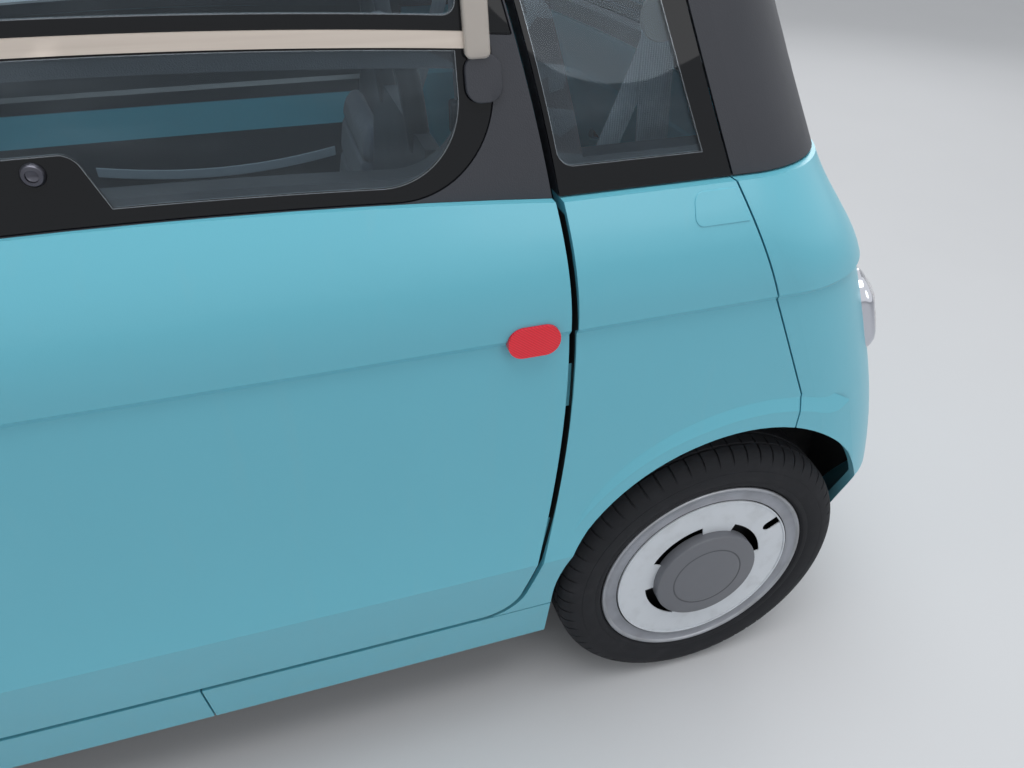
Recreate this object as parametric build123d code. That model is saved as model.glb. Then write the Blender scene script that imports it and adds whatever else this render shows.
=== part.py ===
from build123d import *
import os
from math import atan2, cos, degrees, hypot, radians, sin, sqrt, tan

os.makedirs("parts", exist_ok=True)

# Driving dimensions, in millimetres. The car faces -Y, +Z is up, its left side is +X
# and the origin lies on the ground under its centre.
length = 2535
width = 1400
height = 1530
wheelbase = 1728
tyre_diameter = 550
tyre_width = 155
wheel_plane_x = 588
axle_y = wheelbase / 2
axle_z = tyre_diameter / 2

# Heights of the lines that run round the body.
sill_bottom_z = 190
low_crease_z = 437
waist_z = 850
ledge_height = 10
belt_z = 1018
belt_crown = 24
cant_z = 1470

# Plan curvature of the long sides and of the nose and tail.
side_bow_radius = 52000
end_bow_radius = 4600

# Thicknesses and gaps.
wall = 45
glass = 5
frame_depth = 33
door_gap = 10
seam = 3
seat_gap = 0.3

# Side openings.
door_half_length = 567
door_bow_z = 776
door_edge_radius = 1636
door_bottom_z = 302
door_reach = 200
door_corner_radius = 70
sill_top_z = 292
header_z = 1456
arch_radius = 295
arch_rise = 52
arch_lip = 14
steer_room = 3
liner_radius = 334
liner_sheet = 5
flare_radius = 340
flare_stand = 7
flare_slope = 3.2
front_well_x = 350
rear_well_x = 478
liner_bottom_z = 212

# The body's section at the lamps.
lamp_z = 735
lamp_inset_x = 10
lamp_inset_y = 93
lamp_corner = 200

# Sections of the body from below upwards. Columns: height, distance inside half the
# width, distance inside half the length, corner radius.
tuck_sections = ((sill_bottom_z, 60, 40, 185), (low_crease_z, 3, 0, 200))
flank_sections = (
    (low_crease_z, 3, 0, 200),
    (low_crease_z + 110, 11, 20, 200),
    (lamp_z, lamp_inset_x, lamp_inset_y, lamp_corner),
    (waist_z, 8, 146, 200),
)
ledge_sections = ((waist_z, 8, 146, 200), (waist_z + ledge_height, 0, 147, 197))
shoulder_sections = (
    (waist_z + ledge_height, 0, 147, 197),
    (belt_z - 78, 3, 206, 190),
    (belt_z - 26, 19, 245, 178),
    (belt_z + belt_crown + 4, 45, 268, 165),
)
glass_low_z = belt_z - 18
glass_sections = (
    (glass_low_z, 39, 249, 168),
    (belt_z + 232, 94, 366, 150),
    (cant_z, 130, 462, 135),
)
roof_sections = (
    (cant_z, 130, 462, 135),
    (height - 24, 156, 500, 130),
    (height - 6, 210, 560, 125),
    (height, 290, 640, 120),
)

def plan_centres(inset_x, inset_y, corner):
    """Centres of the side arc, the end arc and the corner arc of one section."""
    side_centre = width / 2 - inset_x - side_bow_radius
    end_centre = length / 2 - inset_y - end_bow_radius
    side_reach = side_bow_radius - corner
    end_reach = end_bow_radius - corner
    span = hypot(side_centre, end_centre)
    along = (side_reach**2 - end_reach**2 + span**2) / (2 * span)
    across = sqrt(side_reach**2 - along**2)
    ux, uy = -side_centre / span, end_centre / span
    cx = side_centre + along * ux - across * uy
    cy = along * uy + across * ux
    return side_centre, end_centre, cx, cy


def plan_wire(z, inset_x, inset_y, corner, inside):
    """Eight tangent arcs round the car at one height, set in by a wall thickness."""
    side_centre, end_centre, cx, cy = plan_centres(inset_x, inset_y, corner)
    side_angle = degrees(atan2(cy, cx - side_centre))
    end_angle = degrees(atan2(cy - end_centre, cx))
    turn = end_angle - side_angle
    side_r, end_r, corner_r = side_bow_radius - inside, end_bow_radius - inside, corner - inside
    arcs = (
        (side_centre, 0, side_r, -side_angle, 2 * side_angle),
        (cx, cy, corner_r, side_angle, turn),
        (0, end_centre, end_r, end_angle, 180 - 2 * end_angle),
        (-cx, cy, corner_r, 180 - end_angle, turn),
        (-side_centre, 0, side_r, 180 - side_angle, 2 * side_angle),
        (-cx, -cy, corner_r, 180 + side_angle, turn),
        (0, -end_centre, end_r, 180 + end_angle, 180 - 2 * end_angle),
        (cx, -cy, corner_r, -end_angle, turn),
    )
    edges = [CenterArc((x, y), r, start, size) for x, y, r, start, size in arcs]
    return Pos(0, 0, z) * Wire(edges)


def stack(sections, inside=0, drop=0):
    """One smooth band of the body between creases."""
    wires = [plan_wire(z - drop, ix, iy, corner, inside) for z, ix, iy, corner in sections]
    return Solid.make_loft(wires)


def lower_volume(inside):
    """Everything up to just above the belt line, set in by a thickness."""
    band = stack(tuck_sections, inside)
    for sections in (flank_sections, ledge_sections, shoulder_sections):
        band += stack(sections, inside)
    return band


def box_between(low, high):
    """A box from its lowest to its highest corner."""
    size = [h - l for l, h in zip(low, high)]
    return Pos(*low) * Box(*size, align=(Align.MIN, Align.MIN, Align.MIN))


def rod(start, end, diameter):
    """A round bar between two points."""
    path = Vector(*end) - Vector(*start)
    return Plane(origin=start, z_dir=path) * Cylinder(
        diameter / 2, path.length, align=(Align.CENTER, Align.CENTER, Align.MIN)
    )


def across_x(sketch, x_low, x_high):
    """A side-view sketch (local x = Y, local y = Z) pushed from one X to another."""
    return extrude(Plane.YZ.offset(x_low) * sketch, x_high - x_low)


def along_y(sketch, y_low, y_high):
    """A front-view sketch (local x = X, local y = Z) pushed from one Y to another."""
    return extrude(Plane.XZ.offset(-y_high) * sketch, y_high - y_low)


def slab(low, high, half=3000):
    """A sketch band between two heights."""
    return Pos(0, (low + high) / 2) * Rectangle(2 * half, high - low)


def at_wheel(y_sign, shape, rise=0):
    """Places a shape made about the X axis at a left wheel's centre, or raised above it."""
    return Pos(0, y_sign * axle_y, axle_z + rise) * shape


def disc_x(radius, x_low, x_high):
    """A round disc about the X axis."""
    return Pos(x_low, 0, 0) * Rot(0, 90, 0) * Cylinder(
        radius, x_high - x_low, align=(Align.CENTER, Align.CENTER, Align.MIN)
    )


def spin_x(profile):
    """Turns a sketch, whose local x is X and local y is a radius, about the X axis."""
    return revolve(profile, Axis.X)


def left_right(shape):
    """A left piece and its mirror image on the right."""
    return [shape, mirror(shape, about=Plane.YZ)]


def four_ways(shape):
    """A rear left piece repeated at all four corners."""
    return left_right(shape) + left_right(mirror(shape, about=Plane.XZ))


def solids_of(shapes):
    """All solids in a shape or a list of shapes."""
    found = []
    for shape in shapes if isinstance(shapes, (list, tuple)) else [shapes]:
        found += shape.solids()
    return found


def keep(name, shapes):
    """Writes one node."""
    solids = solids_of(shapes)
    export_step(Compound(children=solids) if len(solids) > 1 else solids[0], f"parts/{name}.step")


def door_outline(grow, low, high, corner=0):
    """The door's side view between two heights, grown by a gap."""
    reach = door_edge_radius - door_half_length
    lens = Pos(-reach, door_bow_z) * Circle(door_edge_radius + grow)
    lens &= Pos(reach, door_bow_z) * Circle(door_edge_radius + grow)
    outline = lens & slab(low, high)
    if corner:
        outline = fillet(outline.vertices().group_by(Axis.Y)[0], corner)
    return outline


def crown_region(rise, low=0):
    """Side view below a line that is crowned like the belt and crosses the door's edges at a height."""
    half = door_half_length - door_gap
    radius = (half**2 + belt_crown**2) / (2 * belt_crown)
    disc = Pos(0, belt_z + rise + belt_crown - radius) * Circle(radius)
    return disc & slab(low, height)


# Body volumes and the shells between them.
outer_lower = lower_volume(0)
inner_lower = lower_volume(wall)
lip_lower = lower_volume(arch_lip)
band_lower = outer_lower - inner_lower
shell_lower = band_lower & across_x(slab(0, belt_z), -width, width)
glass_outer = stack(glass_sections)
glass_back = stack(glass_sections, glass)
glass_inner = stack(glass_sections, glass + frame_depth)
skin_band = glass_outer - glass_back
frame_band = glass_back - glass_inner


def arch_opening(radius):
    """The rear left wheel's opening: round above its centre and upright below it."""
    rounded = at_wheel(1, disc_x(radius, front_well_x, width), arch_rise)
    return rounded + box_between((front_well_x, axle_y - radius, 0), (width, axle_y + radius, axle_z + arch_rise))


# Wheel arches, shared by the panels, the liners and the flares. The front ones leave the
# steered tyres a little more room.
arch_hole = arch_opening(arch_radius)
steer_way = mirror(arch_opening(arch_radius + steer_room), about=Plane.XZ)
arch_recess = at_wheel(1, disc_x(liner_radius + seat_gap, front_well_x, width), arch_rise) & lip_lower

# End panel seam in side view: leaning down to the brow round the arch, then upright.
seam_belt_y = 787
seam_knee_y = 958
seam_knee_z = axle_z + arch_rise + flare_radius
seam_lean = (seam_knee_y - seam_belt_y) / (belt_z - seam_knee_z)


def seam_y(z):
    """Where the end panel's seam lies at a height."""
    return min(seam_belt_y + (belt_z - z) * seam_lean, seam_knee_y)


def end_region(offset):
    """Side view of all that lies behind the seam, moved back by an offset."""
    top, bottom = belt_z + wall, 0
    return make_face(Polyline(
        (seam_y(top) + offset, top), (length, top), (length, bottom), (seam_knee_y + offset, bottom),
        (seam_knee_y + offset, seam_knee_z), close=True,
    ))


# Doors: the painted panel below the belt.
door_x = 250
door_cut = across_x(
    door_outline(0, door_bottom_z, belt_z + belt_crown + 1, door_corner_radius) & crown_region(0), door_x, width
)
door_panel = band_lower & door_cut
door_way = across_x(
    door_outline(door_gap, door_bottom_z - door_gap, header_z + door_gap, door_corner_radius + door_gap),
    door_x, width,
)

# The soft brow round each wheel arch.
brow_run = flare_slope * 2 * flare_stand
flank_at_axle = width / 2 - 11 - side_bow_radius + sqrt(side_bow_radius**2 - axle_y**2)
brow_cone = Pos(flank_at_axle - flare_stand, 0, 0) * Rot(0, 90, 0) * Cone(
    flare_radius + flare_slope * flare_stand, flare_radius + flare_slope * flare_stand - brow_run,
    2 * flare_stand, align=(Align.CENTER, Align.CENTER, Align.MIN),
)
brow = (stack(flank_sections, -flare_stand) - stack(flank_sections, flare_stand)) & at_wheel(1, brow_cone, arch_rise)
brow -= arch_hole

# Side panels between the door and the end panel.
wing_bottom_z = sill_top_z + seam
wing_region = across_x(
    Pos(seam_belt_y, (wing_bottom_z + belt_z) / 2) * Rectangle(2 * seam_belt_y, belt_z - wing_bottom_z),
    door_x, width,
)
end_cut = across_x(end_region(-seam / 2), -width, width)
wing = ((shell_lower & wing_region) + (brow & wing_region)) - door_way - end_cut
wing = wing - arch_hole - arch_recess
rear_wing_left, rear_wing_right, front_wing_left, front_wing_right = four_ways(wing)
hinge_leaf_x = 650
hinge_leaf_width = 24
hinge_leaf_height = 70
hinge_leaf_z = (480, 760)
for leaf_z in hinge_leaf_z:
    leaf_low, leaf_high = leaf_z - hinge_leaf_height / 2, leaf_z + hinge_leaf_height / 2
    leaf_sketch = door_outline(door_gap, leaf_low, leaf_high) - door_outline(seat_gap, leaf_low, leaf_high)
    leaves = across_x(leaf_sketch, hinge_leaf_x, hinge_leaf_x + hinge_leaf_width)
    leaf = leaves & box_between((0, 0, 0), (width, length, height))
    rear_wing_left += leaf
    front_wing_right += Rot(0, 0, 180) * leaf
steer_ways = left_right(steer_way)
keep("wings_left", [rear_wing_left, front_wing_left - steer_ways])
keep("wings_right", [rear_wing_right, front_wing_right - steer_ways])

# End panels, alike at nose and tail.
end_bottom_z = 232
end_panel = shell_lower & across_x(end_region(seam / 2), -width, width)
end_panel += [part & across_x(end_region(seam / 2), -width, width) for part in left_right(brow)]
end_panel -= box_between((-width, 0, 0), (width, length, end_bottom_z))
end_panel -= left_right(arch_hole) + left_right(arch_recess)
lamp_height = 140
lamp_width = 86
lamp_angle = 62
lamp_stand = 18
lamp_depth = 40
lamp_ring = 10
lens_dome = 6
head_radius = 76
head_angle = 78
head_stand = 20
nose_tilt = atan2(lamp_inset_y, lamp_z - low_crease_z)


def face_plane(angle, stand):
    """A plane that rests on the body at lamp height, facing out at a plan angle."""
    side_centre, end_centre, cx, cy = plan_centres(lamp_inset_x, lamp_inset_y, lamp_corner)
    end_angle = degrees(atan2(cy - end_centre, cx))
    on_corner = angle < end_angle
    centre = Vector(cx, cy, lamp_z) if on_corner else Vector(0, end_centre, lamp_z)
    flat = Vector(cos(radians(angle)), sin(radians(angle)), 0)
    seat = centre + flat * (lamp_corner if on_corner else end_bow_radius)
    normal = flat * cos(nose_tilt) + Vector(0, 0, sin(nose_tilt))
    sideways = Vector(0, 0, 1).cross(normal)
    return Plane(origin=seat + normal * stand, x_dir=sideways, z_dir=normal)


def lamp_block(grow, low, high):
    """An upright rounded block through a tail lamp's place."""
    face = RectangleRounded(lamp_width + 2 * grow, lamp_height + 2 * grow, lamp_width / 2 + grow - 1)
    return extrude(face_plane(lamp_angle, low) * face, high - low)


def head_disc(radius, low, high):
    """A disc through a headlamp's place."""
    return mirror(extrude(face_plane(head_angle, low) * Circle(radius), high - low), about=Plane.XZ)


lamp_pocket = lamp_block(seat_gap, -lamp_depth, wall)
plate_z = 560
plate_hole_span = 240
plate_hole_radius = 3
plate_holes = [
    Pos(x, length / 2 - 2 * wall, plate_z) * Rot(-90, 0, 0) * Cylinder(plate_hole_radius, 4 * wall)
    for x in (plate_hole_span / 2, -plate_hole_span / 2)
]
end_panel -= plate_holes
keep("rear_panel", end_panel - left_right(lamp_pocket))
front_panel = mirror(end_panel, about=Plane.XZ) - steer_ways
front_panel -= left_right(head_disc(head_radius + seat_gap, -lamp_depth, wall))
keep("front_panel", front_panel)

# Sill strips, each in two lengths that meet at the middle of the car.
sill = shell_lower & across_x(slab(sill_bottom_z, sill_top_z, axle_y), door_x, width)
sill -= [arch_hole, arch_recess, steer_way, mirror(arch_recess, about=Plane.XZ)]
sill -= box_between((0, -seam / 2, 0), (width, seam / 2, belt_z))
keep("sills", left_right(sill))

# Side glass: quarter windows between the door and the corner pillar.
pillar_belt_y = 787
pillar_lean = 0.36
border = 38
pane_low_z = belt_z + seam
pane_high_z = header_z


def pillar_y(z):
    """Front edge of the corner pillar's cover."""
    return pillar_belt_y - (z - belt_z) * pillar_lean


def quarter_region(inset):
    """Side view from the car's middle to the pillar, pulled in by an inset."""
    low, high = pane_low_z + inset, pane_high_z - inset
    slant = inset * hypot(1, pillar_lean)
    return make_face(Polyline(
        (-width, low), (pillar_y(low) - slant, low), (pillar_y(high) - slant, high), (-width, high),
        close=True,
    ))


upper_way = across_x(door_outline(door_gap, belt_z - door_reach, header_z + door_reach), door_x, width)
quarter_pane = (skin_band & across_x(quarter_region(0), door_x, width)) - upper_way
quarter_pane &= box_between((0, 0, 0), (width, length, height))
border_way = across_x(door_outline(door_gap + border, belt_z - door_reach, header_z + door_reach), door_x, width)
quarter_hole = across_x(quarter_region(border), door_x, width) - border_way

# Windscreen and rear glass, and the pillar covers beside them.
screen_belt_x = 505
screen_lean = 0.26
end_glass_y = 300


def screen_region(inset):
    """Front view of the glass, pulled in by an inset."""
    low, high = pane_low_z + inset, pane_high_z - inset
    low_x = screen_belt_x - (low - belt_z) * screen_lean - inset
    high_x = screen_belt_x - (high - belt_z) * screen_lean - inset
    return make_face(Polyline((-low_x, low), (low_x, low), (high_x, high), (-high_x, high), close=True))


rear_glass = skin_band & along_y(screen_region(0), end_glass_y, length)
keep("fixed_glass", four_ways(quarter_pane) + [rear_glass, mirror(rear_glass, about=Plane.XZ)])
screen_hole = along_y(screen_region(border), end_glass_y, length)
pillar_band = skin_band & across_x(slab(pane_low_z, pane_high_z), 0, width)
pillar_cover = pillar_band & box_between((0, 0, 0), (width, length, height))
pillar_cover -= across_x(quarter_region(-seam), 0, width)
pillar_cover -= along_y(screen_region(-seam), end_glass_y, length)
keep("pillar_covers", four_ways(pillar_cover))

# The fixed frame behind the glass: belt ring, pillars and header in one.
cabin_frame = frame_band & along_y(slab(belt_z + seat_gap, header_z), -length, length)
cabin_frame -= left_right(across_x(
    door_outline(door_gap, belt_z - door_reach, header_z + door_reach), door_x, width
))
cabin_frame -= four_ways(quarter_hole) + [screen_hole, mirror(screen_hole, about=Plane.XZ)]
keep("window_frame", cabin_frame)

# Roof: a moulded ring round a glass panel.
roof_glass_x = 400
roof_glass_y = 610
roof_corner = 90
roof_depth = 38
roof_outer = stack(roof_sections)
roof_shell = roof_outer - stack(roof_sections, 0, roof_depth)
roof_rim = (glass_outer - glass_inner) & along_y(slab(header_z + seat_gap, cant_z), -length, length)
roof_plan = RectangleRounded(2 * roof_glass_x, 2 * roof_glass_y, roof_corner)
roof_void = RectangleRounded(2 * (roof_glass_x - border), 2 * (roof_glass_y - border), roof_corner - border)
roof_pane = (roof_outer - stack(roof_sections, 0, glass)) & extrude(roof_plan, height)
keep("roof_glass", roof_pane)
roof_frame = roof_shell + roof_rim
roof_frame -= extrude(offset(roof_plan, seam), height) - stack(roof_sections, 0, glass + seat_gap)
roof_frame -= extrude(roof_void, height)
keep("roof_frame", roof_frame)

# Door: upper frame, flush bar and corner fillers, fixed pane and hinged flap.
bar_rise = 157
bar_height = 14
bar_cover = 8
flap_half_length = 485
flap_corner = 110
flap_border = 22
door_header_gap = 8
door_top_z = header_z - door_header_gap
pane_gap = 2
door_upper = door_outline(0, belt_z - 1, door_top_z) - crown_region(seat_gap)
flap_outline = (Rectangle(2 * flap_half_length, 2 * height) & crown_region(bar_rise)) - crown_region(seam)
flap_outline = fillet(flap_outline.vertices().group_by(Axis.Y)[0], flap_corner)
fixed_outline = door_outline(-2 * pane_gap, belt_z, door_top_z - 2 * pane_gap)
fixed_outline -= crown_region(bar_rise + bar_height)
flap_clear = offset(flap_outline, -flap_border)
fixed_clear = door_outline(-border, belt_z, door_top_z - border) - crown_region(bar_rise + bar_height + bar_cover)
door_frame = (frame_band & across_x(door_upper, door_x, width))
door_frame -= across_x(flap_clear, door_x, width)
door_frame -= across_x(fixed_clear, door_x, width)
door_skin = skin_band & across_x(door_upper, door_x, width)
door_skin -= across_x(offset(flap_outline, pane_gap), door_x, width)
door_skin -= across_x(offset(fixed_outline, pane_gap), door_x, width)
door_frame += door_skin
door_flap = (skin_band & across_x(flap_outline, door_x, width))
door_fixed = (skin_band & across_x(fixed_outline, door_x, width))

# Red reflector at the waist crease near the rear edge of each door.
reflector_y = 515
reflector_z = 856
reflector_length = 68
reflector_height = 42
reflector_depth = 9
reflector_stand = 3
flank_x = width / 2
reflector_face = Pos(reflector_y, reflector_z) * RectangleRounded(
    reflector_length, reflector_height, reflector_height / 2 - 1
)
reflector_back_x = flank_x - reflector_depth
reflector_pocket = across_x(offset(reflector_face, seat_gap), reflector_back_x - seat_gap, width)
reflector = across_x(reflector_face, reflector_back_x, flank_x + reflector_stand)

# Door pull on two feet near the free edge, and the mirror on its arm near the nose.
handle_y = -478
handle_z = 940
handle_length = 104
handle_stand = 24
handle_width = 26
handle_sheet = 12
handle_foot_span = 36
handle_foot_width = 18
handle_foot_length = 20
handle_foot_depth = 30
handle = across_x(
    Pos(handle_y, handle_z) * RectangleRounded(handle_width, handle_length, handle_width / 2 - 1),
    flank_x + handle_stand - handle_sheet, flank_x + handle_stand,
)
for foot_z in (handle_z - handle_foot_span, handle_z + handle_foot_span):
    foot = Pos(handle_y, foot_z) * Rectangle(handle_foot_width, handle_foot_length)
    handle += across_x(foot, flank_x - handle_foot_depth, flank_x + handle_stand - handle_sheet / 2)
handle -= stack(shoulder_sections, -seat_gap)
mirror_y = -508
mirror_z = 1100
mirror_foot_x = 634
mirror_centre_x = 742
mirror_width = 150
mirror_height = 105
mirror_depth = 56
mirror_rise = 12
mirror_corner = 40
mirror_edge = 20
mirror_arm_diameter = 26
mirror_arm_inset = 30
mirror_shell = extrude(
    Plane(origin=(mirror_centre_x, mirror_y + mirror_depth / 2, mirror_z + mirror_rise), z_dir=(0, -1, 0))
    * RectangleRounded(mirror_width, mirror_height, mirror_corner), mirror_depth,
)
mirror_shell = fillet(mirror_shell.faces().sort_by(Axis.Y)[0].edges(), mirror_edge)
mirror_arm = rod(
    (mirror_foot_x - mirror_arm_inset, mirror_y, mirror_z - mirror_arm_diameter),
    (mirror_centre_x - mirror_arm_inset, mirror_y, mirror_z), mirror_arm_diameter,
)
mirror_arm -= stack(glass_sections, -seat_gap)
door_mirror = mirror_shell + mirror_arm

trim_left = [handle, door_mirror]
trim_right = [Rot(0, 0, 180) * handle, mirror(door_mirror, about=Plane.YZ)]
right_panel = Rot(0, 0, 180) * door_panel - mirror(reflector_pocket, about=Plane.YZ)
right_frame = Rot(0, 0, 180) * door_frame
right_glass = [Rot(0, 0, 180) * pane for pane in (door_flap, door_fixed)]
keep("door_left_panel", door_panel - reflector_pocket)
keep("door_left_frame", door_frame)
keep("door_left_glass", [door_flap, door_fixed])
keep("door_left_trim", trim_left)
keep("door_left_reflector", reflector)
keep("door_right_panel", right_panel)
keep("door_right_frame", right_frame)
keep("door_right_glass", right_glass)
keep("door_right_trim", trim_right)
keep("door_right_reflector", mirror(reflector, about=Plane.YZ))

# Lamps: bright housings and domed clear lenses.
tail_housing = lamp_block(0, seat_gap - lamp_depth, lamp_stand) - lamp_block(-lamp_ring, 0, lamp_stand + 1)
tail_lens = lamp_block(-lamp_ring - seat_gap, seat_gap, lamp_stand + lens_dome)
head_housing = head_disc(head_radius, seat_gap - lamp_depth, head_stand)
head_housing -= head_disc(head_radius - lamp_ring, 0, head_stand + 1)
head_lens = head_disc(head_radius - lamp_ring - seat_gap, seat_gap, head_stand + lens_dome)
keep("lamp_housings", left_right(tail_housing) + left_right(head_housing))
keep("lamp_lenses", left_right(tail_lens) + left_right(head_lens))

# Wheels. Each is made about the X axis with its outer face towards +X.
bead_radius = 180
rim_half = 70
flange_radius = 195
cover_radius = 166
barrel_radius = 162
bulge = tyre_width / 2
tread_radius = tyre_diameter / 2
rim_edge = rim_half - 6
# Half of the tyre's section. Columns: distance from its middle, radius.
tyre_half = (
    (rim_edge, bead_radius + seat_gap), (rim_edge, flange_radius + 1), (bulge - 4, flange_radius + 6),
    (bulge, flange_radius + 30), (bulge - 4, tread_radius - 28), (bulge - 15, tread_radius - 9),
    (bulge - 28, tread_radius - 1),
)
tyre_line = Polyline(*tyre_half, (0, tread_radius), *[(-x, r) for x, r in reversed(tyre_half)], close=True)
tyre_profile = make_face(tyre_line)
tyre_rounding = 8
tyre_profile = fillet(tyre_profile.vertices().filter_by(lambda v: v.Y > flange_radius + 3), tyre_rounding)
tyre = spin_x(tyre_profile)

# Steel wheel: barrel with two flanges, a dished disc and the hub that runs on the knuckle.
hub_radius = 58
hub_back = 3
hub_bore = 18
spindle_radius = 17.95
disc_x_place = 26
disc_sheet = 6
flange_sheet = 4
well_step = 14
cover_step = 8
# The barrel's section with its two flanges. Columns: distance from its middle, radius.
barrel_line = Polyline(
    (-rim_half, barrel_radius + cover_step), (-rim_half, flange_radius), (flange_sheet - rim_half, flange_radius),
    (flange_sheet - rim_half, bead_radius), (rim_edge, bead_radius), (rim_edge, flange_radius),
    (rim_half, flange_radius), (rim_half, cover_radius + 2), (rim_half - cover_step, cover_radius + 2),
    (rim_half - well_step, barrel_radius), (well_step - rim_half, barrel_radius), close=True,
)
steel_wheel = spin_x(make_face(barrel_line))
steel_wheel += disc_x(barrel_radius + flange_sheet, disc_x_place, disc_x_place + disc_sheet)
steel_wheel += disc_x(hub_radius, hub_back, disc_x_place + disc_sheet / 2)
steel_wheel -= disc_x(hub_bore, hub_back - 1, rim_half)

# Flat wheel cover with a domed cap, four curved slots and the valve slot.
cover_sheet = 4
cover_face = rim_half + 1
cap_radius = 98
cap_height = 9
cap_ring_radius = 65
slot_inner = 101
slot_outer = 112
slot_turn = 50
ring_half = 2
ring_slope = 6
post_radius = 30
valve_slot_length = 40
valve_slot_width = 13
valve_angle = 52
cover = disc_x(cover_radius, cover_face - cover_sheet, cover_face)
cap_face = cover_face + cap_height
cap_profile = make_face(Polyline(
    (cover_face - 1, 0), (cap_face, 0), (cap_face, cap_ring_radius - ring_slope),
    (cap_face + seam, cap_ring_radius - ring_half), (cap_face + seam, cap_ring_radius + ring_half),
    (cap_face, cap_ring_radius + ring_slope), (cap_face - 2, cap_radius - 2 * ring_slope),
    (cover_face, cap_radius), (cover_face - 1, cap_radius), close=True,
))
cover += spin_x(cap_profile)
cover += disc_x(post_radius, disc_x_place + disc_sheet + seat_gap, cover_face - 1)


def on_ring(radius, turn):
    """A point on a ring round the wheel's centre."""
    return radius * cos(radians(turn)), radius * sin(radians(turn))


half_slot = slot_turn / 2
slot_sector = make_face([
    CenterArc((0, 0), slot_outer, -half_slot, slot_turn),
    CenterArc((0, 0), slot_inner, -half_slot, slot_turn),
    Line(on_ring(slot_inner, half_slot), on_ring(slot_outer, half_slot)),
    Line(on_ring(slot_inner, -half_slot), on_ring(slot_outer, -half_slot)),
])
slot_tool = across_x(slot_sector, cover_face - 2 * cover_sheet, cap_face)
for quarter in range(4):
    cover -= Rot(45 + 90 * quarter, 0, 0) * slot_tool
valve_place = Pos(cover_radius - valve_slot_length / 2 + 4, 0)
valve_slot = across_x(
    valve_place * SlotOverall(valve_slot_length, valve_slot_width), cover_face - 2 * cover_sheet, width
)
cover -= Rot(valve_angle, 0, 0) * valve_slot

corners = {"front_left": (1, -1), "front_right": (-1, -1), "rear_left": (1, 1), "rear_right": (-1, 1)}
for corner, (x_sign, y_sign) in corners.items():
    turn = Rot(0, 0, 0 if x_sign > 0 else 180)
    place = Pos(x_sign * wheel_plane_x, y_sign * axle_y, axle_z) * turn
    keep(f"tyre_{corner}", place * tyre)
    keep(f"wheel_{corner}", place * steel_wheel)
    keep(f"cover_{corner}", place * cover)

# Front knuckles: steering axis leaning inwards, with the damper strut on top.
steer_x = 528
steer_lean = 14
steer_top_z = 712
strut_diameter = 40
spring_height = 122
ball_z = 186
ball_radius = 14
top_ball_radius = 20
stem_diameter = 16
body_diameter = 52
body_rise = 90
bearing_radius = 38
spring_plate_diameter = 104
spring_plate_sheet = 6
sleeve_diameter = 76
coil_radius = 42
wire_radius = 8
front_coils = 4
coil_rise = 27
steer_arm_reach = 118
steer_arm_half = 13
tower_low_z = steer_top_z + 12


def steer_point(z):
    """A point on the left steering axis at a height."""
    return (steer_x - (z - axle_z) * tan(radians(steer_lean)), -axle_y, z)


knuckle = rod(steer_point(ball_z + stem_diameter + 6), steer_point(axle_z + body_rise), body_diameter)
knuckle += rod(steer_point(ball_z), steer_point(ball_z + body_diameter / 2), stem_diameter)
knuckle += Pos(*steer_point(ball_z)) * Sphere(ball_radius)
knuckle += Pos(0, -axle_y, axle_z) * disc_x(bearing_radius, steer_x - 20, wheel_plane_x + hub_back - 1)
knuckle += Pos(0, -axle_y, axle_z) * disc_x(spindle_radius, steer_x, wheel_plane_x + disc_x_place + 2)
spring_low_z = steer_top_z - spring_height
knuckle += rod(steer_point(axle_z + body_rise), steer_point(spring_low_z), strut_diameter)
knuckle += rod(steer_point(spring_low_z - spring_plate_sheet), steer_point(spring_low_z), spring_plate_diameter)
steer_direction = Vector(*steer_point(steer_top_z)) - Vector(*steer_point(0))
coils = Plane(origin=steer_point(spring_low_z), z_dir=steer_direction)
for coil_turn in range(front_coils):
    knuckle += coils * Pos(0, 0, (coil_turn + 0.45) * coil_rise) * Torus(coil_radius, wire_radius)
knuckle += rod(steer_point(spring_low_z), steer_point(steer_top_z - 4), sleeve_diameter)
knuckle += Pos(*steer_point(tower_low_z - seat_gap - top_ball_radius)) * Sphere(top_ball_radius)
steer_arm_z = ball_z + body_diameter / 2
knuckle += box_between(
    (steer_x - steer_arm_half, -axle_y, steer_arm_z),
    (steer_x + steer_arm_half, steer_arm_reach - axle_y, steer_arm_z + 1.4 * steer_arm_half),
)
keep("knuckle_left", knuckle)
keep("knuckle_right", mirror(knuckle, about=Plane.YZ))

# Wheel liners: rolled plastic sheet with an inner wall, open below, holed for the struts.
strut_hole = 124
arm_way = 62
arm_way_ahead = 330


def liner(inner_x, y_sign):
    """One liner on the left side."""
    shell = disc_x(liner_radius, inner_x, width)
    shell -= disc_x(liner_radius - liner_sheet, inner_x + liner_sheet, width)
    placed = at_wheel(y_sign, shell, arch_rise) & lower_volume(arch_lip + seat_gap)
    placed -= box_between((0, -length, 0), (width, length, liner_bottom_z))
    if y_sign > 0:
        placed -= box_between(
            (inner_x - 1, axle_y - arm_way_ahead, 0), (inner_x + liner_sheet + 1, axle_y + arm_way, axle_z + arm_way)
        )
    strut_way = rod(steer_point(axle_z + 200), steer_point(steer_top_z + 60), strut_hole)
    return placed - (strut_way if y_sign < 0 else mirror(strut_way, about=Plane.XZ))


keep("wheel_liners", left_right(liner(rear_well_x, 1)) + left_right(liner(front_well_x, -1)))

# Frame of welded tubes: rails, cross members, horns and the legs of the strut towers.
rail_x = 430
rail_z = 236
rail_size = 40
rail_half = rail_size / 2
horn_x = 285
nose_y = 1150
middle_y = 500
leg_x = horn_x + 8
leg_y = axle_y - 30
leg_diameter = 38
tower_sheet = 6
tower_half_y = 62
tower_reach = 60
floor_sheet = 16
floor_z = rail_z - rail_half - floor_sheet - seat_gap


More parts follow.
